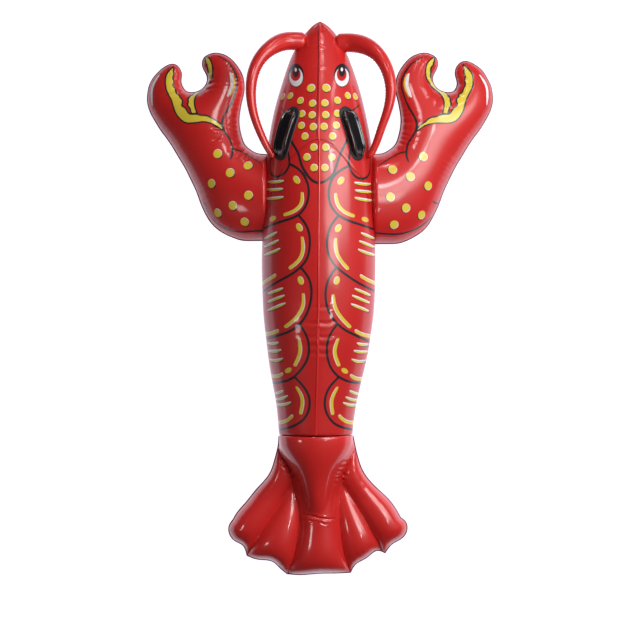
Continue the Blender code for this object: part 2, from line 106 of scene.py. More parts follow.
# The seam of a claw starts at this X and Z and falls by CLAW_DROOP for each metre outwards
CLAW_ROOT_X = 0.2035
CLAW_ROOT_Z = 0.160
CLAW_DROOP = 0.165
# Half thickness of a claw where its swelling reaches this half width
CLAW_HALF_THICKNESS = 0.110
CLAW_HALF_WIDTH = 0.150
# View column of a claw's root, and the radius that its skin rounds off by there
CLAW_ROOT_COLUMN = 266.6
CLAW_ROOT_ROUND = 0.016
# Width of a welded edge
FLANGE = 0.0030

# Tail fan: its outline in view pixels, in runs that meet at corners, and its weld lines
FAN_RUNS = [
    [(278.5, 434.9), (277.6, 445), (275.2, 455), (268.6, 473.6), (255.2, 489.6), (244.5, 503), (236, 513),
     (232.3, 519.4)],
    [(232.3, 519.4), (228.2, 526), (228.4, 533), (233.6, 540.5), (242, 545.4), (246.2, 555.6)],
    [(246.2, 555.6), (256.5, 559.3), (272.6, 562), (279.3, 568.0), (286.5, 574.0)],
    [(286.5, 574.0), (300, 574.9), (318, 573.6), (335, 573.3), (350.3, 572.6)],
    [(350.3, 572.6), (355.0, 564.6), (366, 558), (377.5, 550.6), (384.8, 553.2)],
    [(384.8, 553.2), (392, 544), (402, 538), (407.0, 527.5), (404.5, 520.5), (400.6, 517.6)],
    [(400.6, 517.6), (390, 501), (375.7, 487), (362.3, 470), (357.0, 455), (354.6, 445), (352.7, 434.9)],
]
FAN_WELDS = [
    [(277.2, 446), (283, 457), (288.5, 467), (292, 476), (293, 486), (296.5, 500), (299, 515), (298.6, 528),
     (297, 540), (293, 558), (287.6, 573.0)],
    [(292.4, 480), (289.5, 487), (281, 501.5), (268, 521), (257, 538), (247.2, 554.2)],
    [(354.8, 446), (350, 457), (345.8, 466), (342.6, 474), (340.6, 483), (339.0, 495), (339.0, 510), (340, 530),
     (342, 545), (345.4, 560), (349.6, 571.6)],
    [(341.0, 479), (345, 487), (352, 498.5), (362, 515), (372, 532), (381.5, 548.8)],
]
# Height of the fan's seam, then the half thickness and the half width of a lobe, and the half thickness of a valley
FAN_SEAM_Z = 0.069
FAN_LOBE = 0.072
FAN_LOBE_HALF_WIDTH = 0.062
FAN_VALLEY = 0.032
# The tongue that carries the body on over the fan: its half width and the height of its top along Y
TONGUE_END_Y = -0.90
TONGUE_HALF_WIDTH = [
    (JOINT_Y, 0.1432), (-0.565, 0.1430), (-0.60, 0.1320), (-0.64, 0.1085), (-0.68, 0.0870), (-0.72, 0.0740),
    (-0.77, 0.0630), (-0.84, 0.0570), (TONGUE_END_Y, 0.0560),
]
TONGUE_TOP = [
    (JOINT_Y, 0.272), (-0.60, 0.255), (-0.70, 0.215), (-0.80, 0.172), (-0.84, 0.150), (TONGUE_END_Y, 0.095),
]

# Antennae: centre lines as view pixels and a height
ANTENNA_LEFT = [
    (313, 41.6, 0.184), (303, 41.0, 0.202), (288, 40.4, 0.216), (272, 46.0, 0.256), (258, 60.0, 0.290),
    (250.7, 82, 0.307), (250.3, 96, 0.309), (254.0, 117, 0.305), (260.6, 134.5, 0.297), (271.6, 154.4, 0.288),
    (274.2, 157.6, 0.286),
]
ANTENNA_RIGHT = [
    (329, 43.2, 0.184), (339, 42.4, 0.200), (350, 42.2, 0.211), (364, 44.9, 0.244), (378, 54.5, 0.282),
    (387.2, 70.5, 0.303), (390.5, 87.5, 0.309), (388.4, 105.5, 0.308), (381.3, 127, 0.300), (370.0, 154.6, 0.288),
    (367.9, 157.8, 0.286),
]
# View pixels round which the body's skin rises in a collar for each root
ANTENNA_COLLARS = ((306.2, 40.8), (334.2, 41.4))
# View columns where the left and the right antenna narrow as they meet the body
ANTENNA_JOIN = 303.2, 337.4
ANTENNA_PITCH = 0.0036
# Shares of an antenna's length, and the radius there
ANTENNA_RADIUS = [
    (0.0, 0.0352), (0.10, 0.0350), (0.22, 0.0335), (0.34, 0.0272), (0.46, 0.0228), (0.58, 0.0195), (0.72, 0.0158),
    (0.86, 0.0138), (1.0, 0.0120),
]

# Handles: the middle of the right one in plan, which the left one mirrors, a shift of both along X, and the turn of
# their front ends towards the body's middle. Then half sizes, and half of a strap's centre line: its distance along
# the handle and its height above the skin.
HANDLE_CENTRE = (0.1250, 0.6235)
HANDLE_OFFSET = -0.002
HANDLE_TURN = math.radians(17.0)
FLANGE_HALF_LENGTH = 0.1065
FLANGE_HALF_WIDTH = 0.0335
STRAP_HALF_LENGTH = 0.0885
STRAP_HALF_WIDTH = 0.0312
STRAP_HALF_THICKNESS = 0.0048
STRAP_END_ROUND = 0.030
STRAP_LINE = [(-0.088, 0.0040), (-0.082, 0.0085), (-0.072, 0.0150), (-0.056, 0.0205), (-0.030, 0.0228), (0.0, 0.0232)]
# Rings of a flange from its middle out and back under its rim: share of its half sizes, and height above the skin
FLANGE_RINGS = [
    (0.0, 0.0030), (0.30, 0.0030), (0.60, 0.0031), (0.78, 0.0033), (0.86, 0.0040), (0.91, 0.0043), (0.955, 0.0040),
    (0.98, 0.0030), (0.995, 0.0018), (1.0, 0.0006), (0.985, 0.0002), (0.5, 0.0002),
]
# A strap's section, in shares of its half width and half thickness, with a raised rim along both edges
STRAP_SECTION = [
    (-1.0, -0.5), (-1.0, 0.35), (-0.97, 0.78), (-0.91, 1.06), (-0.85, 1.12), (-0.78, 0.98), (-0.71, 0.60),
    (-0.64, 0.20), (-0.52, -0.04), (-0.3, -0.12), (0.0, -0.14), (0.3, -0.12), (0.52, -0.04), (0.64, 0.20),
    (0.71, 0.60), (0.78, 0.98), (0.85, 1.12), (0.91, 1.06), (0.97, 0.78), (1.0, 0.35), (1.0, -0.5), (0.96, -0.9),
    (0.85, -1.0), (0.4, -1.0), (0.0, -1.0), (-0.4, -1.0), (-0.85, -1.0), (-0.96, -0.9),
]

# Body welds in view pixels: the arch behind the head, and a line of painted shade beside the back's weld, in two parts
ARCH_SEAM = [
    (268.6, 214), (270.3, 199), (272.2, 190), (275.1, 183), (281, 173), (286.5, 163), (290, 158), (298, 150.5),
    (308, 143), (319, 139.5), (329.6, 143), (338, 149.7), (344.6, 157), (350.4, 164.6), (356.2, 172), (360.3, 176),
    (363.6, 183.5), (366, 192), (369, 200.7), (370.4, 214),
]
HEAD_RIDGE_SHADE = [(319.0, 24), (318.4, 34), (318.4, 62), (317.9, 78), (317.4, 100), (316.9, 120), (316.8, 137)]
BACK_RIDGE_SHADE = [(318.6, 141.5), (318.5, 165), (318.0, 230), (317.3, 290), (316.3, 350), (315.2, 428)]
# How far the ridge's weld stands to the side of the body's middle, along Y
RIDGE_STEP = [
    (JOINT_Y, 0.0), (0.587, 0.0), (0.603, -0.0034), (0.668, -0.0034), (0.714, -0.0024), (0.821, -0.0016),
    (0.90, -0.0008), (NOSE_Y, 0.0),
]
# Puckers across the ridge's weld: row and reach to the side in view pixels, and depth in metres
SEAM_PUCKERS = [
    (306.0, 14, 0.0016), (322.0, 15, 0.0034), (336.0, 15, 0.0026), (344.5, 11, 0.0020), (352.5, 11, 0.0018),
    (392.0, 7, 0.0006), (45.0, 9, 0.0016), (66.0, 9, 0.0012), (28.5, 8, 0.0012),
]


def curve_through(knots, count=400):
    """Dense points on a natural cubic spline through the knots, which may have any number of coordinates."""
    knots = np.array(knots, float)
    if len(knots) == 2:
        return knots[0] + np.linspace(0, 1, count)[:, None] * (knots[1] - knots[0])
    steps = np.linalg.norm(np.diff(knots, axis=0), axis=1)
    at = np.concatenate([[0.0], np.cumsum(steps)])
    n = len(knots)
    system = np.eye(n)
    right = np.zeros_like(knots)
    for i in range(1, n - 1):
        before, after = steps[i - 1], steps[i]
        system[i, i - 1 : i + 2] = before, 2 * (before + after), after
        right[i] = 6 * ((knots[i + 1] - knots[i]) / after - (knots[i] - knots[i - 1]) / before)
    bend = np.linalg.solve(system, right)
    t = np.linspace(0, at[-1], count)
    i = np.clip(np.searchsorted(at, t, side="right") - 1, 0, n - 2)
    h = np.array(steps)[i][:, None]
    a = (at[i + 1] - t)[:, None] / h
    b = 1 - a
    return a * knots[i] + b * knots[i + 1] + ((a**3 - a) * bend[i] + (b**3 - b) * bend[i + 1]) * h**2 / 6


def profile(knots):
    """A smooth value along Y, from (Y, value) knots that run from the head to the tail."""
    line = curve_through(knots)[::-1]
    return lambda y: np.interp(y, line[:, 0], line[:, 1])


def evenly(line, pitch):
    """The line again, with points evenly spaced, about a pitch apart."""
    along = np.concatenate([[0.0], np.cumsum(np.linalg.norm(np.diff(line, axis=0), axis=1))])
    count = max(2, int(round(along[-1] / pitch)) + 1)
    at = np.linspace(0, along[-1], count)
    return np.stack([np.interp(at, along, line[:, i]) for i in range(line.shape[1])], axis=1)


half_width_at = profile(BODY_HALF_WIDTH)
top_at = profile(BODY_TOP)
widest_at = profile(BODY_WIDEST)
under_at = profile(BODY_UNDER)
bend_at = profile(SIDE_BEND)
tongue_half_width_at = profile(TONGUE_HALF_WIDTH)
tongue_top_at = profile(TONGUE_TOP)


def to_view(points):
    """View pixels of points in metres."""
    near = (CAMERA_Z - PLANE_Z) / (CAMERA_Z - points[:, 2]) / PIXEL
    return np.column_stack([MIDDLE + points[:, 0] * near, MIDDLE - (points[:, 1] - CAMERA_Y) * near])


def from_view(pixels, z=PLANE_Z):
    """Plan positions in metres of view pixels, for points at the height z."""
    pixels = np.asarray(pixels, float)
    far = PIXEL * (CAMERA_Z - np.asarray(z)) / (CAMERA_Z - PLANE_Z)
    x = (pixels[..., 0] - MIDDLE) * far
    return np.stack([x, CAMERA_Y - (pixels[..., 1] - MIDDLE) * far], axis=-1)


def arch(share):
    """Height of the upper half of a section, from 1 at the middle to 0 at the side, with a slight roof peak."""
    outer = np.clip((np.abs(share) + ROOF_PEAK) / (1 + ROOF_PEAK), 0, 1)
    return np.sqrt(1 - outer**2) / math.sqrt(1 - (ROOF_PEAK / (1 + ROOF_PEAK)) ** 2)


def body_section(y, angles):
    """Points (x, z) round the body at y. Angle 0 is the top and a quarter turn is +X."""
    wide, top, widest, under = half_width_at(y), top_at(y), widest_at(y), under_at(y)
    share = np.sin(angles)
    upper = widest + (top - widest) * arch(share)
    lower = widest + (widest - under) * np.cos(angles)
    return wide * share, np.where(np.cos(angles) > 0, upper, np.maximum(lower, 0.0))


def body_top_z(x, y):
    """Height of the body's upper skin over a point in plan."""
    share = (x - bend_at(y)) / half_width_at(y)
    return widest_at(y) + (top_at(y) - widest_at(y)) * arch(share)


def distance_to(points, line):
    """Distance of each point from a chain of segments, in the plane or in space."""
    best = np.full(len(points), np.inf)
    for a, b in zip(line[:-1], line[1:]):
        d = b - a
        along = np.clip(((points - a) @ d) / max(d @ d, 1e-18), 0, 1)
        best = np.minimum(best, ((points - a - along[:, None] * d) ** 2).sum(axis=1))
    return np.sqrt(best)


def nearest_on(points, line):
    """Distance in plan of each point from a chain of segments, and how far along the chain it is nearest."""
    best = np.full(len(points), np.inf)
    at = np.zeros(len(points))
    gone = 0.0
    for a, b in zip(line[:-1], line[1:]):
        d = b - a
        size = math.sqrt(d @ d)
        along = np.clip(((points - a) @ d) / (size * size), 0, 1)
        far = ((points - a - along[:, None] * d) ** 2).sum(axis=1)
        nearer = far < best
        best = np.where(nearer, far, best)
        at = np.where(nearer, gone + along * size, at)
        gone += size
    return np.sqrt(best), at


def inside(points, loop):
    """Which points lie in a closed outline."""
    result = np.zeros(len(points), bool)
    for (x0, y0), (x1, y1) in zip(loop, np.roll(loop, -1, axis=0)):
        if y0 == y1:
            continue
        crosses = (points[:, 1] > min(y0, y1)) & (points[:, 1] <= max(y0, y1))
        at = x0 + (points[:, 1] - y0) * (x1 - x0) / (y1 - y0)
        result ^= crosses & (points[:, 0] < at)
    return result


def wave(at, length, seed):
    """Uneven ripples along a line: a smooth value from -1 to 1 that repeats about every length."""
    slow = np.sin(at / length * 1.31 + seed) + 0.6 * np.sin(at / length * 0.47 + 2.1 * seed)
    return np.sin(2 * math.pi * at / length + 1.3 * slow + seed)


def patches(at, length, seed):
    """A smooth value from 0 to 1 along a line, high on some stretches and low on others."""
    value = np.sin(at / length * 2.3 + seed) + np.sin(at / length * 3.7 + 1.7 * seed) + np.sin(at / length * 1.1 - seed)
    return np.clip(0.5 + 0.3 * value, 0, 1)


def triangulate(loop, welds, pitch, rows):
    """Triangles that fill a closed outline, with edges along the weld lines and rows of points beside them."""
    lines = [np.vstack([loop, loop[:1]]), *welds]
    fixed, edges = [], []
    for index, line in enumerate(lines):
        first = len(fixed)
        points = line[:-1] if index == 0 else line
        fixed += list(points)
        edges += [(first + i, first + i + 1) for i in range(len(points) - 1)]
        if index == 0:
            edges.append((first + len(points) - 1, first))
    low, high = loop.min(axis=0), loop.max(axis=0)
    across = np.arange(low[0], high[0], pitch)
    up = np.arange(low[1], high[1], pitch * math.sqrt(3) / 2)
    x, y = np.meshgrid(across, up)
    x[1::2] += pitch / 2
    free = np.column_stack([x.ravel(), y.ravel()])
    free = free[inside(free, loop)]
    near = np.min([distance_to(free, line) for line in lines], axis=0)
    free = free[near > rows[-1] + 0.6 * pitch]
    beside, beside_step = [], []
    for line in lines:
        direction = np.gradient(line, axis=0)
        normal = np.stack([-direction[:, 1], direction[:, 0]], axis=1)
        normal /= np.linalg.norm(normal, axis=1)[:, None]
        for k, step in enumerate(rows):
            shifted = line + 0.5 * (k % 2) * direction
            for side in (-1, 1):
                beside.append(shifted + side * step * normal)
                beside_step.append(np.full(len(line), step))
    beside, beside_step = np.vstack(beside), np.concatenate(beside_step)
    near = np.min([distance_to(beside, line) for line in lines], axis=0)
    keep = inside(beside, loop) & (near > 0.93 * beside_step)
    beside, beside_step = beside[keep], beside_step[keep]
    order = np.argsort(beside_step, kind="stable")
    beside, beside_step = beside[order], beside_step[order]
    # A point is left out where it lies closer than half a pitch to a chosen one of its own row
    cell = 0.55 * pitch
    least = (0.5 * pitch) ** 2
    taken = {}
    chosen = []
    for i, (x, y) in enumerate(beside):
        a, b = int(x // cell), int(y // cell)
        around = [j for p in (-1, 0, 1) for q in (-1, 0, 1) for j in taken.get((a + p, b + q), ())]
        same_row = [j for j in around if beside_step[j] > 0.99 * beside_step[i]]
        if all((beside[j] - beside[i]) @ (beside[j] - beside[i]) >= least for j in same_row):
            taken.setdefault((a, b), []).append(i)
            chosen.append(i)
    coordinates = [Vector(p) for p in np.vstack([fixed, beside[chosen], free])]
    verts, _, faces, *_ = delaunay_2d_cdt(coordinates, edges, [], 1, 1e-7)
    return np.array([tuple(v) for v in verts]), np.array([tuple(f) for f in faces])


# The solver below stops once what is left of the load has fallen to this share, or after this many rounds
LEFT_OVER = 1e-12
ROUNDS = 4000


def membrane(verts, faces, held):
    """Swelling of a sheet that is held at some points: the square root of twice the solution of Poisson's equation."""
    n = len(verts)
    rows, columns, weights = [], [], []
    for i in range(3):
        a, b, c = (verts[faces[:, (i + k) % 3]] for k in range(3))
        cross = np.abs((b - a)[:, 0] * (c - a)[:, 1] - (b - a)[:, 1] * (c - a)[:, 0])
        rows.append(faces[:, (i + 1) % 3])
        columns.append(faces[:, (i + 2) % 3])
        weights.append(0.5 * ((b - a) * (c - a)).sum(axis=1) / np.maximum(cross, 1e-12))
    rows, columns, weights = map(np.concatenate, (rows, columns, weights))
    a, b, c = (verts[faces[:, k]] for k in range(3))
    area = 0.5 * np.abs((b - a)[:, 0] * (c - a)[:, 1] - (b - a)[:, 1] * (c - a)[:, 0])
    load = sum(np.bincount(faces[:, k], area / 3, n) for k in range(3))
    diagonal = np.bincount(rows, weights, n) + np.bincount(columns, weights, n)
    free = ~held & (diagonal > 1e-9)
    scale = np.where(free, 1 / np.maximum(diagonal, 1e-9), 0)
    u = np.zeros(n)
    left = load * free
    search = scale * left
    size = left @ search
    start = size
    for _ in range(ROUNDS):
        flow = np.bincount(rows, weights * search[columns], n) + np.bincount(columns, weights * search[rows], n)
        pushed = (diagonal * search - flow) * free
        step = size / (search @ pushed)
        u += step * search
        left -= step * pushed
        fresh = scale * left
        new_size = left @ fresh
        if new_size < LEFT_OVER * start:
            break
        search = fresh + (new_size / size) * search
        size = new_size
    return np.sqrt(2 * np.maximum(u, 0))


def mesh_object(name, verts, faces, material):
    """A smooth shaded mesh object in the scene."""
    mesh = bpy.data.meshes.new(name)
    mesh.from_pydata([tuple(map(float, v)) for v in verts], [], [tuple(map(int, f)) for f in faces])
    mesh.update()
    made = bpy.data.objects.new(name, mesh)
    bpy.context.scene.collection.objects.link(made)
    mesh.materials.append(material)
    mesh.shade_smooth()
    return made


def tidy(made):
    """Merges doubled points and turns every face outwards."""
    work = bmesh.new()
    work.from_mesh(made.data)
    bmesh.ops.remove_doubles(work, verts=work.verts, dist=2e-5)
    bmesh.ops.recalc_face_normals(work, faces=work.faces)
    work.to_mesh(made.data)
    work.free()
    made.data.shade_smooth()


def tube_faces(rings, size):
    """Faces between neighbouring rings of size points, each of which closes on itself."""
    index = np.arange(rings * size).reshape(rings, size)
    a, b = index[:-1], index[1:]
    return np.stack([a, np.roll(a, -1, axis=1), np.roll(b, -1, axis=1), b], axis=-1).reshape(-1, 4)


def two_sided(verts, faces, top, under, joined):
    """Points and faces of a closed skin over a plan. Its first points are the top's, in the order of verts."""
    n = len(verts)
    low_index = np.where(joined, np.arange(n), -1)
    low_index[~joined] = n + np.arange((~joined).sum())
    points = np.vstack([np.column_stack([verts, top]), np.column_stack([verts, under])[~joined]])
    ends = np.concatenate([faces[:, [0, 1]], faces[:, [1, 2]], faces[:, [2, 0]]])
    _, first, count = np.unique(np.sort(ends, axis=1), axis=0, return_index=True, return_counts=True)
    walls = []
    for i, j in ends[first[count == 1]]:
        corners = [j, i, low_index[i], low_index[j]]
        wall = [c for k, c in enumerate(corners) if c not in corners[:k]]
        if len(wall) > 2:
            walls.append(tuple(wall))
    all_faces = [tuple(f) for f in faces] + [tuple(low_index[list(f)][::-1]) for f in faces] + walls
    return points, all_faces


def flange_strip(line, outward, z, inner=0.0015, outer=FLANGE, thick=0.0007, bulge=0.0004):
    """Points and faces of a thin welded edge beside an open line in plan."""
    n = len(line)
    points = []
    for offset, height in ((-inner, thick), (outer, thick), (outer + bulge, 0.0), (outer, -thick), (-inner, -thick)):
        points.append(np.column_stack([line + outward * offset, np.broadcast_to(z + height, n)]))
    points = np.vstack(points)
    faces = []
    for i in range(n - 1):
        for k in range(4):
            faces.append((k * n + i, k * n + i + 1, (k + 1) * n + i + 1, (k + 1) * n + i))
    return points, faces


def creased(pixels, creases, end, taper, crest, crest_at):
    """Change of height at creases of (knots, depth, half width): a groove and a crest beside it that fade at the ends.

    End is the share of a crease's length that the fade starts at, taper is its power, crest is a share of the depth,
    and crest_at is in half widths.
    """
    change = np.zeros(len(pixels))
    for knots, depth, width in creases:
        line = curve_through(knots, 24)
        far, along = nearest_on(pixels, line)
        share = along / np.linalg.norm(np.diff(line, axis=0), axis=1).sum()
        fade = np.sin(np.clip(share, end, 1 - end) * math.pi) ** taper
        groove = np.exp(-((far / width) ** 2))
        beside = np.exp(-(((far - crest_at * width) / (1.2 * width)) ** 2))
        change += fade * depth * (crest * beside - groove)
    return change


# The print, and one ink of painted shade: signed distances to shapes, kept on the mesh as one named value for each ink,
# and each ink's colour. Later inks lie over earlier ones; the first is the painted shade, a dark line along the welds.
INKS = {
    # Painted shade: a dark red line in the arch weld's groove and beside the back's ridge weld
    "ink_painted_shade": (0.24, 0.004, 0.006),
    "ink_black": (0.012, 0.013, 0.018),
    "ink_white": (0.80, 0.78, 0.80),
    "ink_yellow": (0.72, 0.55, 0.048),
    "ink_iris": (0.50, 0.010, 0.012),
    "ink_pupil": (0.010, 0.010, 0.012),
    "ink_glint": (0.80, 0.80, 0.82),
}
# Distances are kept up to FAR metres, and an ink's edge is 2 * SOFT metres wide
FAR = 0.03
SOFT = 0.0005
# The print's view pixels are counted from the frame's corner, and all others from the middle of its first pixel
CORNER = 0.5
# Share of a stroke's length that a narrowed end takes up
TAPER = 0.25


class Skin:
    """The upper side of a mesh, which shapes given in view pixels are laid on."""

    def __init__(self, points, seen):
        self.points = points
        self.ink = {name: np.full(len(points), FAR) for name in INKS}
        self.index = np.flatnonzero(seen)
        self.top = points[self.index]
        self.pixels = to_view(self.top) + CORNER
        self.tree = kdtree.KDTree(len(self.top))
        for i, (u, v) in enumerate(self.pixels):
            self.tree.insert((u, v, 0), i)
        self.tree.balance()

    def lift(self, pixels):
        """Points on the skin under view pixels."""
        lifted = []
        for u, v in pixels:
            found = self.tree.find_n((float(u), float(v), 0), 4)
            index = [f[1] for f in found]
            share = np.array([1 / (f[2] + 1e-3) for f in found])
            z = (self.top[index, 2] * share).sum() / share.sum()
            if found[0][2] > 1.5:
                lifted.append(self.top[index[0]])
            else:
                lifted.append(np.append(from_view((u - CORNER, v - CORNER), z), z))
        return np.array(lifted)

    def add(self, ink, values, index):
        """Lays a shape's distances over an ink's own."""
        self.ink[ink][self.index[index]] = np.minimum(self.ink[ink][self.index[index]], values)

    def stroke(self, ink, knots, width, ends=(1, 1), shift=(0, 0)):
        """A line with round ends. Its width in pixels narrows to the two shares in ends."""
        line = self.lift(evenly(curve_through(np.array(knots, float) + shift, 120), 1.3))
        radius = 0.5 * width * PIXEL
        low, high = line.min(axis=0) - radius - FAR, line.max(axis=0) + radius + FAR
        index = np.flatnonzero(((self.top > low) & (self.top < high)).all(axis=1))
        points = self.top[index]
        share = np.linspace(0, 1, len(line))
        first, last = (end + (1 - end) * way / TAPER for end, way in zip(ends, (share, 1 - share)))
        wide = radius * np.minimum(1, np.minimum(first, last))
        best = np.full(len(points), np.inf)
        for i in range(len(line) - 1):
            a, d = line[i], line[i + 1] - line[i]
            along = np.clip(((points - a) @ d) / max(d @ d, 1e-18), 0, 1)
            far = np.sqrt(((points - a - along[:, None] * d) ** 2).sum(axis=1))
            best = np.minimum(best, far - (wide[i] + along * (wide[i + 1] - wide[i])))
        self.add(ink, best, index)

    def disc(self, ink, centre, radius, shift=(0, 0), stretch=1.0, turn=0.0):
        """A disc, or an ellipse whose long axis is turned from the view's vertical, in degrees."""
        centre = np.array(centre, float) + shift
        tip = centre + [math.sin(math.radians(turn)), -math.cos(math.radians(turn))]
        middle, end = self.lift([centre, tip])
        radius = radius * PIXEL
        index = np.flatnonzero((np.abs(self.top - middle) < radius * stretch + FAR).all(axis=1))
        offset = self.top[index] - middle
        axis = (end - middle) / max(np.linalg.norm(end - middle), 1e-9)
        along = offset @ axis / stretch
        across = np.sqrt(np.maximum((offset**2).sum(axis=1) - (offset @ axis) ** 2, 0))
        self.add(ink, np.sqrt(along**2 + across**2) - radius, index)

    def fill(self, ink, outline, grow=0.0):
        """The inside of a closed outline in view pixels, and what lies within grow pixels of it."""
        outline = np.array(outline, float)
        low, high = outline.min(axis=0) - 8, outline.max(axis=0) + 8
        index = np.flatnonzero(((self.pixels > low) & (self.pixels < high)).all(axis=1))
        points = self.pixels[index]
        away = distance_to(points, np.vstack([outline, outline[:1]])) * np.where(inside(points, outline), -1, 1)
        self.add(ink, (away - grow) * PIXEL, index)

    def write(self, mesh):
        """Keeps the inks' distances on the mesh."""
        for name in INKS:
            layer = mesh.attributes.new(name, "FLOAT", "POINT")
            layer.data.foreach_set("value", self.ink[name].astype(np.float32))


def dot(skin, centre, radius, dark=(0.2, 0.85), light=(0.4, -0.4), share=0.91):
    """A printed spot: yellow, with thin black and white rims on the sides that dark and light point to."""
    skin.disc("ink_black", centre, radius * 0.98, shift=dark)
    skin.disc("ink_white", centre, radius * 0.97, shift=light)
    skin.disc("ink_yellow", centre, radius * share)


def dash(skin, centre, length, slope, bow=0.0):
    """A printed hatch line: white above, yellow below, with a black edge under it."""
    x, y = centre
    dx = 0.5 * length + 0.6
    knots = [(x - dx, y + slope * dx), (x, y + bow), (x + dx, y - slope * dx)]
    skin.stroke("ink_black", knots, 2.3, ends=(0.5, 0.5), shift=(0.3, 1.0))
    skin.stroke("ink_white", knots, 2.3, ends=(0.5, 0.5), shift=(0.0, -0.5))
    skin.stroke("ink_yellow", knots, 1.9, ends=(0.4, 0.4), shift=(0.0, 0.45))


def ellipse(centre, half_width, half_height, lean=0.0):
    """Outline of an ellipse in view pixels. Its height leans to the right by an angle in degrees."""
    turns = np.linspace(0, 2 * math.pi, 49)[:-1]
    x, y = half_width * np.cos(turns), -half_height * np.sin(turns)
    lean = math.radians(lean)
    return np.array(centre) + np.column_stack(
        [x * math.cos(lean) - y * math.sin(lean), x * math.sin(lean) + y * math.cos(lean)]
    )


# Width in view pixels of the outlines of the shell plates
PLATE_LINE = 2.4
# Eyes: ink, centre and half sizes in view pixels, from the black rim to the glint
EYES = [
    [
        ("ink_black", (296.0, 75.5), 7.9, 11.9), ("ink_white", (296.0, 77.0), 6.9, 9.4),
        ("ink_iris", (295.4, 74.2), 5.1, 6.8), ("ink_pupil", (295.5, 70.6), 3.4, 6.6),
        ("ink_glint", (295.7, 69.8), 1.15, 1.9),
    ],
    [
        ("ink_black", (342.0, 75.5), 8.1, 11.9), ("ink_white", (342.0, 77.0), 7.1, 9.4),
        ("ink_iris", (341.7, 74.2), 4.9, 6.8), ("ink_pupil", (341.9, 70.2), 3.3, 6.5),
        ("ink_glint", (341.9, 69.4), 1.2, 2.0),
    ],
]


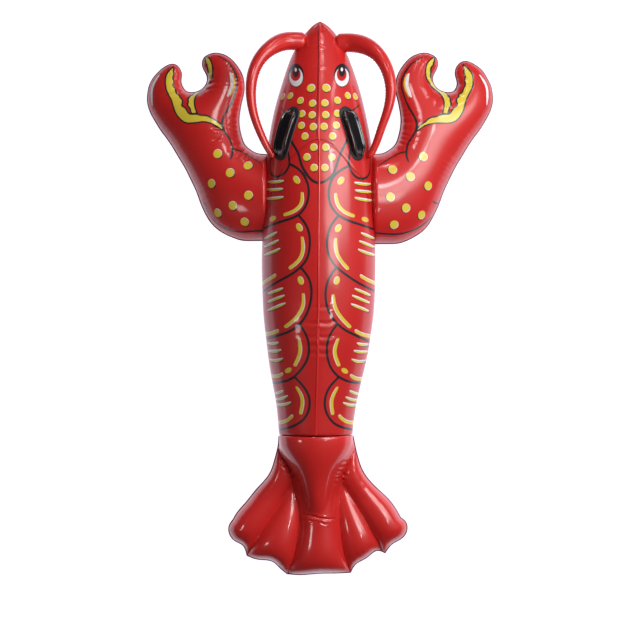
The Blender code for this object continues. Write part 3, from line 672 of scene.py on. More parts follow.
def print_body(skin):
    """Painted shade along the welds, then eyes, spots and the outlines of the shell plates on the back."""
    # Painted shade: dark lines in the arch weld's groove and beside the back's ridge weld
    skin.stroke("ink_painted_shade", ARCH_SEAM, 1.0)
    skin.stroke("ink_painted_shade", HEAD_RIDGE_SHADE, 1.3)
    skin.stroke("ink_painted_shade", BACK_RIDGE_SHADE, 0.8)
    for eye in EYES:
        for ink, centre, half_width, half_height in eye:
            skin.fill(ink, ellipse(centre, half_width, half_height))
    for centre in ((310.8, 88.2), (326.1, 88.1)):
        dot(skin, centre, 4.3)
    for x, y in ((289.8, 96.1), (282.5, 96.7), (347.6, 95.8), (355.2, 96.7)):
        dot(skin, (x, y), 3.7)
    spots = [
        (300.1, 100.8), (312.3, 103.5), (324.6, 103.2), (337.2, 100.6), (301.6, 114.0), (311.8, 115.2),
        (325.4, 115.0), (337.1, 113.6), (301.1, 125.7), (313.0, 127.0), (323.8, 126.7), (336.1, 125.4),
        (304.6, 136.5), (332.4, 136.3), (313.5, 147.5), (325.6, 147.5), (306.6, 157.3), (331.6, 157.3),
        (313.8, 167.9), (324.6, 167.9),
    ]
    for centre in spots:
        dot(skin, centre, 3.75)
    skin.stroke("ink_black", [(345.5, 117), (352, 111), (361.5, 103.5)], 1.5, ends=(1, 0.3))
    skin.stroke("ink_black", [(287, 115), (283.6, 111.0), (280.2, 107.4)], 1.5, ends=(1, 0.4))
    skin.stroke(
        "ink_black",
        [(288.4, 133), (292.3, 143), (298, 153), (301.4, 164.6), (306.4, 173.7), (312.2, 180.4), (318.8, 182.9),
         (326.3, 180.4), (333, 173.7), (338, 160.5), (342, 150.5), (346.2, 142), (350, 132)],
        PLATE_LINE + 0.2,
    )
    segments = [
        [(287.4, 148), (288.6, 155.5), (289.4, 162), (287.3, 169.6), (282.4, 174.6), (276.6, 176.7), (271.6, 174.6),
         (270.0, 168), (270.6, 158)],
        [(351.2, 147), (349.5, 155.5), (348.7, 163.8), (351.2, 171.3), (356.2, 177), (362.8, 178.7), (367.8, 176.2),
         (370.0, 169.6), (370.2, 160)],
        [(289.8, 164.2), (298, 168.8), (304.8, 177), (308, 185.4), (308.6, 195), (306.7, 203.6), (298, 215),
         (283.7, 220.8), (269.4, 226), (262, 229.5)],
        [(348.8, 165.9), (341, 170), (333.5, 176.8), (329.2, 188.3), (329.6, 201.7), (336.3, 213.2), (346.9, 219.9),
         (360.3, 224.6), (371.7, 228.5), (377, 230.5)],
        [(299, 216), (305.7, 224.6), (309.5, 236), (309.5, 247.6), (306.7, 259), (300.9, 266.7), (289.4, 275.4),
         (274, 284), (268.4, 287.8), (261, 292.5)],
        [(338.3, 216), (331.6, 224.6), (327.7, 236), (327.2, 247.6), (330.6, 259), (336.3, 266.7), (346.9, 275.4),
         (360.3, 284), (373.7, 290.7), (378, 293)],
        [(300.9, 267.7), (308.6, 278.2), (311.5, 293.5), (308, 310.6), (299.9, 323.9), (285.6, 333), (273.4, 337),
         (266.2, 339.2), (262, 340.5)],
        [(336.3, 267.7), (329.6, 277.3), (325.6, 293), (328.5, 310.6), (336.6, 322.9), (346.8, 331), (357, 336),
         (368.3, 341.2), (372, 342.5)],
        [(299.9, 324.9), (306, 335), (309, 347.3), (307, 359.6), (299.9, 370.8), (293.8, 376.9), (285.6, 381),
         (275.4, 383), (269, 383.2)],
        [(336.6, 324.9), (329.5, 336), (326.9, 349.4), (328.5, 361.6), (333.6, 371.8), (340.7, 378), (350.9, 382),
         (361, 383), (366, 383)],
        [(294.8, 377.4), (303, 386), (309, 397.3), (309, 408.6), (304, 418.8), (295.8, 424.9), (287.7, 428),
         (280.5, 429.5), (275, 429.8)],
        [(338.7, 377.4), (330.5, 386), (325.4, 397.3), (324.9, 406.5), (328.5, 416.7), (336.6, 424.9), (344.8, 428),
         (351.9, 429.5), (357, 429.8)],
    ]
    for knots in segments:
        skin.stroke("ink_black", knots, PLATE_LINE)
    eggs = [
        (296.4, 179.9, -34), (341.1, 180.8, 34), (299.1, 227.5, -30), (338.5, 228.3, 30), (300.5, 280.6, -20),
        (337.1, 280.6, 20),
    ]
    for x, y, lean in eggs:
        rim = 0.45 if x < MIDDLE else -0.45
        skin.fill("ink_white", ellipse((x + rim, y - 0.25), 2.75, 4.35, lean))
        skin.fill("ink_yellow", ellipse((x, y), 2.7, 4.3, lean))
    for x, y, lean in ((272.7, 218.6, 62), (365.2, 219.5, -68), (288.2, 370.3, 60), (344.8, 370.8, -58)):
        skin.fill("ink_yellow", ellipse((x, y), 2.4, 3.7, lean))
    crescents = [
        [(301.9, 193), (300.9, 203.6), (293.3, 211.2), (284.7, 214.6)],
        [(335.9, 194.0), (338.3, 204.5), (344, 211.2), (353.6, 215.8)],
        [(301.9, 237.6), (302.8, 247.6), (300, 258), (289.9, 267.8)],
        [(335.9, 239), (336.3, 249.5), (340.2, 259), (347.8, 268.3)],
        [(303, 294.3), (303, 303.5), (295.8, 317.8), (285.4, 326.6)],
        [(333.6, 295.3), (335.6, 307.6), (341.7, 317.8), (350.0, 326.6)],
        [(298.9, 339.2), (299.9, 351.4), (294.8, 365.0)],
        [(338.2, 339.2), (335, 351.4), (339.0, 365.0)],
        [(296.5, 387.4), (301.9, 398.4), (300.4, 412.9)],
        [(337.5, 387.8), (332, 400.4), (333, 413.4)],
    ]
    for i, knots in enumerate(crescents):
        side = 1 if i % 2 == 0 else -1
        skin.stroke("ink_white", knots, 3.0, ends=(0.7, 0.9), shift=(0.7 * side, 0.2))
        skin.stroke("ink_yellow", knots, 3.2, ends=(0.75, 1))
    lower = [
        [(275.0, 275.6), (269, 279.2), (261, 284.5)],
        [(361.2, 276.2), (368, 280.2), (377.6, 284.2)],
        [(277.6, 331.0), (271, 333.4), (262, 334.6)],
        [(356.0, 331.3), (363, 334.6), (372.6, 336.6)],
        [(281.9, 374.2), (277.4, 376.2), (270, 376.0)],
        [(351.3, 376.0), (356, 378.4), (365, 378.6)],
        [(292.0, 416.4), (286.4, 420.8), (275, 422.8)],
        [(339.7, 416.4), (346.0, 421.4), (357, 422.8)],
    ]
    for i, knots in enumerate(lower):
        side = 1 if i % 2 == 0 else -1
        skin.stroke("ink_white", knots, 3.0, shift=(0.2 * side, -0.5))
        skin.stroke("ink_yellow", knots, 3.0, shift=(0, 0.2))
    hatches = [
        ((275.6, 181.6), 14.5, 0.06, 0.4), ((274.6, 189.4), 15, 0.05, 0.4), ((274.6, 198.0), 16, 0.10, 0.3),
        ((362.7, 183.5), 14.5, -0.10, 0.6), ((363.6, 191.3), 15.5, -0.10, 0.3), ((363.6, 199.3), 16, -0.16, 0.5),
        ((270.8, 235.6), 11.5, 0.52, 0), ((271.3, 243.8), 13.5, 0.46, 0), ((272.2, 251.9), 14.5, 0.40, 0.5),
        ((367.9, 236.0), 12.0, -0.42, 0), ((367.0, 244.3), 14.0, -0.40, 0), ((366.5, 252.4), 15.5, -0.34, 0.5),
        ((275.4, 291.2), 14.0, 0.36, 0), ((275.9, 298.9), 16, 0.38, 0), ((276.4, 307.0), 17, 0.40, 0),
        ((362.7, 292.2), 14.5, -0.42, 0), ((361.0, 299.4), 16, -0.42, 0), ((360.0, 307.8), 16.5, -0.40, 0),
        ((272.9, 343.0), 10.0, 0.06, 0.8), ((274.4, 350.4), 12.0, 0.04, 1.0), ((275.9, 359.0), 13.0, 0.05, 1.6),
        ((362.7, 344.0), 10.5, -0.10, 0.7), ((361.0, 351.2), 13.0, -0.04, 0.9), ((359.0, 360.0), 13.5, -0.06, 1.7),
        ((279.5, 392.2), 7.0, 0.36, 0.4), ((281.5, 397.9), 11.0, 0.30, 0.8), ((283.6, 403.5), 13.5, 0.14, 1.2),
        ((354.5, 392.8), 8.0, -0.38, 0.4), ((352.4, 398.9), 12.0, -0.22, 0.9), ((350.4, 404.0), 13.0, -0.14, 1.2),
    ]
    for centre, length, slope, bow in hatches:
        dash(skin, centre, length, slope, bow)


# Yellow bands along the fingers and the thumbs, toothed on the inner side, for each claw
LEFT_BANDS = [
    [
        (173.2, 68.0), (171.0, 69.8), (168.4, 72.6), (166.7, 75.6), (166.0, 79.5), (166.0, 84.3), (166.7, 88.6),
        (167.8, 91.7), (169.7, 95.6), (171.9, 99.5), (173.2, 103.8), (174.3, 107.7), (175.8, 111.6), (178.0, 115.5),
        (181.0, 119.0), (184.5, 121.6), (187.9, 122.5), (191.8, 122.3), (197.0, 121.8), (201.8, 121.0),
        (206.2, 121.2), (210.5, 122.4), (215.7, 125.1), (219.6, 127.6), (222.8, 129.4), (222.0, 127.2),
        (219.8, 124.2), (215.7, 121.2), (212.7, 119.6), (210.1, 118.0), (207.5, 116.6), (204.9, 116.1),
        (200.5, 116.0), (197.0, 114.8), (190.1, 114.9), (187.9, 113.6), (186.4, 111.2), (185.1, 109.0),
        (183.6, 107.7), (181.4, 106.6), (180.9, 104.7), (181.6, 102.7), (181.9, 100.8), (181.0, 99.3), (179.3, 97.7),
        (178.8, 96.0), (177.5, 94.7), (175.8, 93.8), (174.9, 91.2), (174.5, 88.9), (173.2, 87.3), (172.3, 85.6),
        (172.5, 83.9), (173.2, 82.1), (173.0, 80.8), (172.1, 78.7), (172.1, 76.9), (172.8, 75.2), (173.2, 73.0),
        (172.3, 70.8), (172.8, 70.0),
    ],
    [
        (206.0, 57.0), (208.6, 58.6), (210.4, 61.4), (211.7, 66.0), (212.1, 70.0), (211.9, 74.5), (211.0, 78.0),
        (209.4, 81.0), (206.4, 84.6), (202.6, 88.4), (199.2, 91.6), (196.2, 94.7), (194.4, 97.3), (193.8, 100.8),
        (193.8, 104.3), (194.4, 107.7), (195.3, 110.3), (196.2, 112.7), (192.3, 112.9), (191.4, 111.6),
        (191.0, 109.0), (189.9, 106.9), (188.6, 105.6), (188.2, 104.3), (189.0, 102.5), (189.0, 100.3),
        (188.8, 99.0), (190.1, 97.3), (192.3, 95.6), (194.9, 93.4), (197.6, 91.4), (201.4, 88.0), (204.9, 84.2),
        (207.4, 81.2), (208.6, 78.0), (208.9, 74.0), (208.7, 70.8), (208.5, 68.7), (207.5, 64.3), (206.0, 61.0),
    ],
]
RIGHT_BANDS = [
    [
        (463.9, 65.6), (467.2, 68.7), (470.4, 72.5), (472.0, 75.7), (472.5, 80.0), (472.3, 84.8), (471.2, 88.6),
        (468.8, 92.8), (466.4, 97.7), (465.0, 101.4), (464.0, 105.7), (462.9, 110.0), (461.0, 113.7), (458.6, 117.5),
        (455.4, 120.4), (451.6, 122.0), (446.3, 122.6), (439.9, 122.3), (433.4, 122.6), (429.7, 123.4),
        (425.4, 124.7), (421.6, 126.9), (417.2, 130.3), (417.9, 128.7), (421.6, 125.0), (425.9, 122.3),
        (428.6, 119.6), (431.8, 118.0), (436.1, 117.4), (439.9, 115.6), (444.1, 115.1), (449.0, 114.8),
        (451.1, 113.5), (452.4, 111.1), (454.3, 108.4), (457.5, 106.5), (458.1, 104.1), (457.3, 101.4), (457.3, 98.7),
        (459.4, 97.1), (459.4, 94.5), (461.8, 93.9), (463.4, 91.8), (464.0, 89.1), (465.6, 86.4), (466.1, 83.7),
        (465.6, 81.1), (465.8, 78.4), (466.1, 75.7), (464.8, 73.6), (464.5, 71.4), (465.0, 68.7), (463.7, 67.1),
    ],
    [
        (433.8, 57.8), (433.7, 60.7), (432.9, 62.9), (432.6, 64.7), (430.5, 66.9), (429.9, 69.8), (430.2, 73.0),
        (429.9, 76.2), (430.5, 78.9), (431.8, 81.6), (434.0, 84.3), (436.6, 87.5), (440.4, 90.4), (444.1, 92.3),
        (446.8, 94.5), (447.9, 96.6), (449.5, 98.5), (449.5, 100.9), (450.3, 103.6), (450.3, 105.4), (448.7, 107.3),
        (448.2, 110.0), (447.4, 113.2), (443.3, 112.9), (444.1, 110.0), (444.8, 106.2), (444.8, 101.4), (443.6, 97.7),
        (441.2, 93.9), (437.7, 90.7), (433.4, 87.5), (431.3, 85.4), (429.7, 82.1), (427.5, 78.9), (426.5, 75.7),
        (426.2, 71.4), (426.7, 67.1), (428.1, 63.4), (430.2, 60.7),
    ],
]


def print_claw(skin, side):
    """Spots, the toothed edge of both fingers, outlines and painted highlights of a claw."""
    right = side > 0

    def at(knots, drop=0.0):
        """The knots of the left claw, or for the right one their mirror image, moved down by drop pixels."""
        knots = np.array(knots, float)
        return knots * [-1, 1] + [2 * MIDDLE, drop] if right else knots

    spots = [
        (217.5, 153.8), (247.9, 165.5), (230.0, 172.9), (211.3, 183.7), (248.3, 195.4), (232.6, 205.7),
        (217.5, 213.0), (244.5, 222.1),
    ]
    if right:
        spots = [
            (423.2, 156.2), (392.5, 169.2), (410.4, 176.3), (428.1, 185.6), (390.4, 196.7), (406.0, 207.7),
            (421.6, 214.8), (394.1, 224.5),
        ]
    lean = -1 if right else 1
    for centre in spots:
        dot(skin, centre, 4.5, dark=(0.85 * lean, 0.65), light=(0.3, -0.35 * lean), share=0.95)
    edge = [
        (266, 230.8), (254.6, 231), (233.4, 231), (222.4, 226.6), (215.8, 222.2), (209.9, 216.3), (205.5, 203.8),
    ]
    hook = [(205.5, 203.8), (203.6, 202.6), (201.0, 199.4)]
    if right:
        edge = [
            (376, 233.0), (381.7, 233.5), (399.3, 233.9), (411.1, 231), (421.4, 225.8), (430.9, 217.8), (436, 210.4),
            (438.2, 203.6),
        ]
        hook = [(438.2, 203.6), (435.6, 203.0), (432.4, 200.9)]
    skin.stroke("ink_black", edge, 2.2)
    skin.stroke("ink_black", hook, 1.9, ends=(1, 0.3))
    contour = [
        (208.5, 54.6), (216, 55.6), (224.7, 59.6), (233, 69), (237.5, 80.6), (235.6, 92), (229.8, 106), (224, 116),
        (222.2, 123.3), (223.4, 129), (227.3, 135.5), (231, 142), (232.6, 149.5),
    ]
    fork_down = [(232.6, 149.0), (232.3, 154), (230.0, 160.2)]
    fork_out = [(232.8, 149.2), (238, 150.2), (244.4, 153.2), (251, 157), (262.4, 164.8)]
    skin.stroke("ink_black", at(contour, 2.0), 2.2, ends=(0.3, 1))
    skin.stroke("ink_black", at(fork_down, 2.4), 2.1, ends=(1, 0.2))
    skin.stroke("ink_black", at(fork_out, 2.6), 1.7, ends=(1, 0.3))
    for outline in RIGHT_BANDS if right else LEFT_BANDS:
        skin.fill("ink_yellow", outline)
        skin.fill("ink_black", outline, grow=1.5)
    skin.stroke("ink_black", at([(223, 129.4), (224.6, 132), (227.3, 135.5)], 2.0), 1.6)
    shine = at([(230.6, 73.2), (232.6, 82.5), (228.0, 95.6)], 1.0)
    skin.stroke("ink_yellow", shine, 1.7, ends=(0.5, 0.5), shift=(1.9 * lean, 0.2))
    skin.stroke("ink_white", shine, 3.8, ends=(0.5, 0.5), shift=(-0.2 * lean, 0))
    skin.stroke("ink_white", at([(159.3, 75.0), (152.9, 85.7), (152.2, 104.8)]), 3.2, ends=(0.4, 0.4))


# Materials


def node(tree, kind, sockets=None, **settings):
    """A new node, with constants for some of its input sockets."""
    made = tree.nodes.new(kind)
    for name, value in settings.items():
        setattr(made, name, value)
    for name, value in (sockets or {}).items():
        made.inputs[name].default_value = value
    return made


def vinyl(name, colour, dark, printed=False, roughness=0.38, coat=0.55):
    """Glossy film with faint clouding, uneven gloss and fine waviness, and the print with its painted shade over it
    where it has one.
    """
    material = bpy.data.materials.new(name)
    material.use_nodes = True
    tree = material.node_tree
    link = tree.links.new
    shader = tree.nodes["Principled BSDF"]
    place = node(tree, "ShaderNodeTexCoord").outputs["Object"]
    cloud = node(tree, "ShaderNodeTexNoise", {"Scale": 5.0, "Detail": 3.0})
    fine = node(tree, "ShaderNodeTexNoise", {"Scale": 60.0, "Detail": 2.0})
    link(place, cloud.inputs["Vector"])
    link(place, fine.inputs["Vector"])
    ground = node(tree, "ShaderNodeMix", {"A": (*dark, 1), "B": (*colour, 1)}, data_type="RGBA")
    spread = node(tree, "ShaderNodeMapRange", {"From Min": 0.3, "From Max": 0.6})
    link(cloud.outputs["Fac"], spread.inputs["Value"])
    link(spread.outputs["Result"], ground.inputs["Factor"])
    shade = ground.outputs["Result"]
    for ink, tone in INKS.items() if printed else ():
        read = node(tree, "ShaderNodeAttribute", attribute_name=ink)
        mask = node(tree, "ShaderNodeMapRange", {"From Min": SOFT, "From Max": -SOFT})
        link(read.outputs["Fac"], mask.inputs["Value"])
        mix = node(tree, "ShaderNodeMix", {"B": (*tone, 1)}, data_type="RGBA")
        link(mask.outputs["Result"], mix.inputs["Factor"])
        link(shade, mix.inputs["A"])
        shade = mix.outputs["Result"]
    link(shade, shader.inputs["Base Color"])
    gloss = node(tree, "ShaderNodeMapRange", {"To Min": roughness - 0.05, "To Max": roughness + 0.06})
    link(fine.outputs["Fac"], gloss.inputs["Value"])
    link(gloss.outputs["Result"], shader.inputs["Roughness"])
    bump = node(tree, "ShaderNodeBump", {"Strength": 0.06, "Distance": 0.004})
    link(fine.outputs["Fac"], bump.inputs["Height"])
    link(bump.outputs["Normal"], shader.inputs["Normal"])
    shader.inputs["IOR"].default_value = 1.4
    shader.inputs["Coat Weight"].default_value = coat
    shader.inputs["Coat Roughness"].default_value = 0.05
    return material


printed_red = vinyl("printed_red_vinyl", (0.60, 0.017, 0.015), (0.55, 0.013, 0.012), printed=True, roughness=0.42)
# A lighter copy of the body's red vinyl, as painted light: the tail fan and the back's weld are brighter than the
# printed skin
plain_red_painted_light = vinyl("plain_red_vinyl", (0.72, 0.024, 0.021), (0.66, 0.019, 0.017), roughness=0.42, coat=0.85)
# Welded edges: a dark red, partly the doubled vinyl of the weld and partly painted shade for the dark line along the
# silhouettes
weld_red_and_shade = vinyl("weld_vinyl_and_painted_shade", (0.20, 0.006, 0.010), (0.14, 0.004, 0.008), coat=0.3)
# The antennae's red is a little lighter than the body's, as painted light for light passing through the thin tubes
feeler_red_painted_light = vinyl("antenna_vinyl", (0.64, 0.022, 0.018), (0.58, 0.018, 0.015))
black_vinyl = vinyl("black_vinyl", (0.008, 0.007, 0.009), (0.005, 0.005, 0.006), roughness=0.24, coat=1.0)
black_flange = vinyl("black_flange_vinyl", (0.020, 0.021, 0.024), (0.014, 0.015, 0.017), roughness=0.50, coat=0.1)


# Body


def bumps(x, y, seed=0.0):
    """Low, wide unevenness of a blown-up skin, in metres."""
    return 0.0006 * (
        np.sin(17 * x + 9 * y + seed) + np.sin(11 * y - 23 * x + 2 * seed) + 0.7 * np.sin(31 * y + 13 * x + 3 * seed)
    )


# Depths on the body, in metres: the arch's groove and its rim, the joint's groove, and the rise of an antenna's collar
ARCH_GROOVE = 0.0024
ARCH_RIM = 0.0007
JOINT_GROOVE = 0.0022
COLLAR_RISE = 0.0028


def make_body():
    """The tube from the nose to the joint with the tail, and its print."""
    # Rings along the body, closer together towards the nose, with three of them in the joint's groove
    share = np.linspace(0, 1, 441)[:-1]
    ys = JOINT_Y + (NOSE_Y - JOINT_Y) * (1 - (1 - share) ** 1.3)
    ys = np.concatenate([JOINT_Y + np.array([-0.0004, 0.0006, 0.0016]), ys[1:]])
    # Angles round a ring, most of them on the upper half
    top = np.linspace(-math.pi / 2, math.pi / 2, 151)
    low = np.linspace(math.pi / 2, 3 * math.pi / 2, 37)[1:-1]
    y, angle = np.meshgrid(ys, np.concatenate([top, low]), indexing="ij")
    x, z = body_section(y, angle)
    grid = np.stack([x + bend_at(y), y, z], axis=-1)
    along = np.gradient(grid, axis=0)
    around = np.roll(grid, -1, axis=1) - np.roll(grid, 1, axis=1)
    normal = np.cross(around, along)
    normal /= np.maximum(np.linalg.norm(normal, axis=2), 1e-12)[..., None]
    flat = grid.reshape(-1, 3)
    pixels = to_view(flat)
    angle = angle.ravel()
    upper = np.cos(angle) > -0.05
    # How far each point moves off the plain tube: at the arch's weld and the puckers across the ridge, by unevenness,
    # in the joint's groove, round the antennae's roots, and in folds at the nose
    push = np.zeros(len(flat))
    seam = distance_to(pixels[upper], evenly(curve_through(ARCH_SEAM, 300), 2.0))
    push[upper] += -ARCH_GROOVE * np.exp(-seam / 0.7) + ARCH_RIM * np.exp(-(((seam - 1.7) / 0.8) ** 2))
    ridge = np.abs(pixels[:, 0] - (MIDDLE + bend_at(flat[:, 1]) / PIXEL))
    for row, reach, depth in SEAM_PUCKERS:
        near = np.exp(-((ridge / reach) ** 2)) * upper
        curve = row + 0.9 * np.sin(ridge / 4.0)
        push += -depth * near * np.exp(-(((pixels[:, 1] - curve) / 1.5) ** 2))
        push += 0.5 * depth * near * np.exp(-(((pixels[:, 1] - curve - 3.6) / 2.6) ** 2))
    back = NOSE_Y - flat[:, 1]
    push += bumps(flat[:, 0], flat[:, 1]) * np.clip(flat[:, 2] / 0.05, 0, 1) * np.clip(back / 0.15, 0, 1)
    push += -JOINT_GROOVE * np.exp(-(flat[:, 1] - JOINT_Y) / 0.0026) * np.clip(1.6 * np.cos(angle), -1, 1) ** 2
    for middle, row in ANTENNA_COLLARS:
        near = np.exp(-(((pixels[:, 0] - middle) / 1.5) ** 2) - ((pixels[:, 1] - row) / 4.6) ** 4)
        push += COLLAR_RISE * upper * near
    push += 0.0016 * np.clip(1 - back / 0.07, 0, 1) * np.sin(8 * angle + 40 * flat[:, 1]) * upper
    flat = flat + normal.reshape(-1, 3) * push[:, None]
    flat[:, 1] += JOINT_SHIFT * np.exp(-((flat[:, 1] - JOINT_Y) / 0.03))
    flat[:, 2] = np.maximum(flat[:, 2], 0.0)
    rows, columns = y.shape
    tip = len(flat)
    last = tip - columns
    points = np.vstack([flat, [[bend_at(NOSE_Y), NOSE_Y, widest_at(NOSE_Y)]]])
    faces = list(tube_faces(rows, columns)[:, ::-1])
    faces += [(last + j, tip, last + (j + 1) % columns) for j in range(columns)]
    faces.append(range(columns))
    made = mesh_object("body_skin", points, faces, printed_red)
    seen = np.append(upper & (points[:-1, 2] > widest_at(points[:-1, 1]) - 0.002), False)
    skin = Skin(points, seen)
    print_body(skin)
    skin.write(made.data)
    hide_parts("body")
    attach(made, "root")


make_body()


# Across the ridge's weld: offset and height above the skin, in metres
RIDGE_PROFILE = [(-0.0042, -0.0006), (-0.0024, 0.0012), (0.0, 0.0017), (0.0024, 0.0012), (0.0042, -0.0006)]


def ridge_weld():
    """The raised weld along the middle of the back."""
    ys = np.linspace(JOINT_Y + JOINT_SHIFT + 0.003, NOSE_Y - 0.012, 420)
    points, faces = [], []
    for y in ys:
        x = float(bend_at(y) + np.interp(y, *np.array(RIDGE_STEP).T))
        for offset, lift in RIDGE_PROFILE:
            points.append((x + offset, y, float(body_top_z(x + offset, y)) + lift))
    size = len(RIDGE_PROFILE)
    for i in range(len(ys) - 1):
        for a in range(size * i, size * i + size - 1):
            faces.append((a, a + 1, a + size + 1, a + size))
    # Painted light: the weld takes the lighter copy of the red
    made = mesh_object("ridge_weld", points, faces, plain_red_painted_light)
    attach(made, "root")


ridge_weld()


# Claws

# Points no further than this from a line lie on it
TOUCH = 1e-6


def claw_seam_z(x):
    """Height of the weld round a claw, which droops outwards from the body."""
    return CLAW_ROOT_Z - CLAW_DROOP * (np.abs(x) - CLAW_ROOT_X)


def make_claw(side, pitch=0.0036):
    """A claw and the weld round it. Both are laid out on the left, and mirrored for the right one."""
    right = side > 0
    start, finger = (CLAW_START_RIGHT, OUTER_FINGER_RIGHT) if right else (CLAW_START, OUTER_FINGER)
    knots = np.array(start + CLAW_SIDE + finger + CLAW_END, float)
    plan = from_view(knots)
    for _ in range(3):
        plan = from_view(knots, claw_seam_z(plan[:, 0]))
    outline = evenly(curve_through(plan, 2400), pitch)
    direction = np.gradient(outline, axis=0)
    outward = np.stack([-direction[:, 1], direction[:, 0]], axis=1)
    outward /= np.linalg.norm(outward, axis=1)[:, None]
    loop = outline - outward * FLANGE
    root_x = (CLAW_ROOT_COLUMN - MIDDLE) * PIXEL
    root = np.array([loop[-1], loop[0]])
    closing = evenly(root, pitch)[1:-1]
    closed = np.vstack([loop, closing])
    verts, faces = triangulate(closed, [], pitch, (0.0007, 0.0021, 0.0046, 0.0082))
    on_edge = distance_to(verts, np.vstack([closed, closed[:1]])) < TOUCH
    at_corner = np.minimum(*(np.linalg.norm(verts - end, axis=1) for end in root)) <= TOUCH
    on_root = (distance_to(verts, root) < TOUCH) & ~at_corner
    held = on_edge & ~on_root
    swell = membrane(verts, faces, held)
    height = CLAW_HALF_THICKNESS * swell / CLAW_HALF_WIDTH
    seam = claw_seam_z(verts[:, 0])
    away, at = nearest_on(verts, loop)
    pixels = to_view(np.column_stack([verts, seam + height]))
    curl = np.interp(at, *hollow_of(loop))
    ripple = 0.5 + 0.5 * wave(at, 0.021, 1.0 + side)
    some = patches(at, 0.11, 2.0 + side)
    reach = 0.020 + 0.022 * some
    depth = 0.0006 + 0.0034 * curl + 0.0016 * some
    height -= depth * ripple**2 * np.exp(-((away / reach) ** 2)) * (away > TOUCH)
    if right:
        pixels = pixels * [-1, 1] + [2 * MIDDLE, 0]
    height += creased(pixels, CLAW_CREASES_RIGHT if right else CLAW_CREASES_LEFT, 0.03, 0.7, 0.35, 2.2)
    away = np.clip(root_x - verts[:, 0], -0.02, CLAW_ROOT_ROUND)
    level = np.sqrt(np.maximum(CLAW_ROOT_ROUND**2 - (CLAW_ROOT_ROUND - away) ** 2, 0))
    dip = CLAW_ROOT_ROUND - level + 1.5 * np.maximum(-away, 0)
    height = np.where(height > 2 * dip, height - dip, height / 2)
    height = np.maximum(height, 0.0004)
    height[held] = 0
    height += bumps(verts[:, 0], verts[:, 1], 5.0 + side) * np.clip(height / 0.03, 0, 1)
    lower = np.minimum(height, seam - 0.0005)
    points, all_faces = two_sided(verts, faces, seam + height, seam - lower, held)
    strip, strip_faces = flange_strip(loop, outward, claw_seam_z(loop[:, 0]))
    if right:
        points[:, 0] *= -1
        strip[:, 0] *= -1
        all_faces = [f[::-1] for f in all_faces]
    name = "claw_right" if right else "claw_left"
    # The weld strip takes the dark red that carries painted shade
    weld = mesh_object(name + "_weld", strip, strip_faces, weld_red_and_shade)
    tidy(weld)
    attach(weld, "root")
    made = mesh_object(name + "_skin", points, all_faces, printed_red)
    skin = Skin(points, np.arange(len(points)) < len(verts))
    print_claw(skin, side)
    skin.write(made.data)
    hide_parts(name)
    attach(made, "root")


def hollow_of(loop):
    """Where an outline turns inwards: distances along it, and 0 to 1 for how strongly."""
    steps = np.linalg.norm(np.diff(loop, axis=0), axis=1)
    along = np.concatenate([[0.0], np.cumsum(steps)])
    direction = np.gradient(loop, axis=0)
    angle = np.unwrap(np.arctan2(direction[:, 1], direction[:, 0]))
    turn = np.gradient(angle) / np.gradient(along)
    kernel = np.hanning(25) / np.hanning(25).sum()
    turn = np.convolve(turn, kernel, mode="same")
    return along, np.clip(turn / 14.0, 0, 1)


# Creases of the claws: knots in view pixels, mirrored for the right one, depth in metres, half width in pixels
CLAW_CREASES_LEFT = [
    ([(201, 88), (208, 84), (216, 80.5)], 0.0035, 1.3),
    ([(203, 91), (210, 88), (219, 87)], 0.0020, 1.3),
    ([(160, 97), (166, 94), (173, 90.5)], 0.0022, 1.4),
    ([(161, 101), (168, 98.5), (175, 95.5)], 0.0018, 1.3),
    ([(211, 126.5), (217, 128), (222.5, 126.5)], 0.0028, 1.5),
    ([(211, 139.5), (216, 138.5), (221, 135.5)], 0.0030, 1.4),
    ([(244, 149), (240, 153), (234, 157.5)], 0.0020, 1.4),
    ([(250, 152), (247, 158), (243, 163)], 0.0016, 1.4),
    ([(238, 143), (233, 147), (228, 149)], 0.0018, 1.5),
]
CLAW_CREASES_RIGHT = [
    ([(203, 88), (209, 87), (215, 87.5)], 0.0022, 1.2),
    ([(176, 95), (170, 92), (163, 88)], 0.0016, 1.2),
    ([(257, 149), (256, 153), (253, 158)], 0.0018, 1.2),
    ([(252, 149), (250, 154), (246, 158)], 0.0018, 1.2),
    ([(247, 146.5), (244, 151), (240, 155)], 0.0018, 1.2),
    ([(212, 228), (215, 223), (217, 219)], 0.0024, 1.6),
    ([(228, 236), (229.5, 231), (231, 227)], 0.0022, 1.6),
    ([(222, 233), (224, 228), (225.5, 224)], 0.0020, 1.6),
]
for hand in (-1, 1):
    make_claw(hand)


# Tail fan


# The bead along the fan's weld lines: height and reach. The wrinkles beside the tongue: their middle along Y and depth.
BEAD = 0.0054, 0.0027
WRINKLES_Y = -0.645
WRINKLES_DEPTH = 0.0050


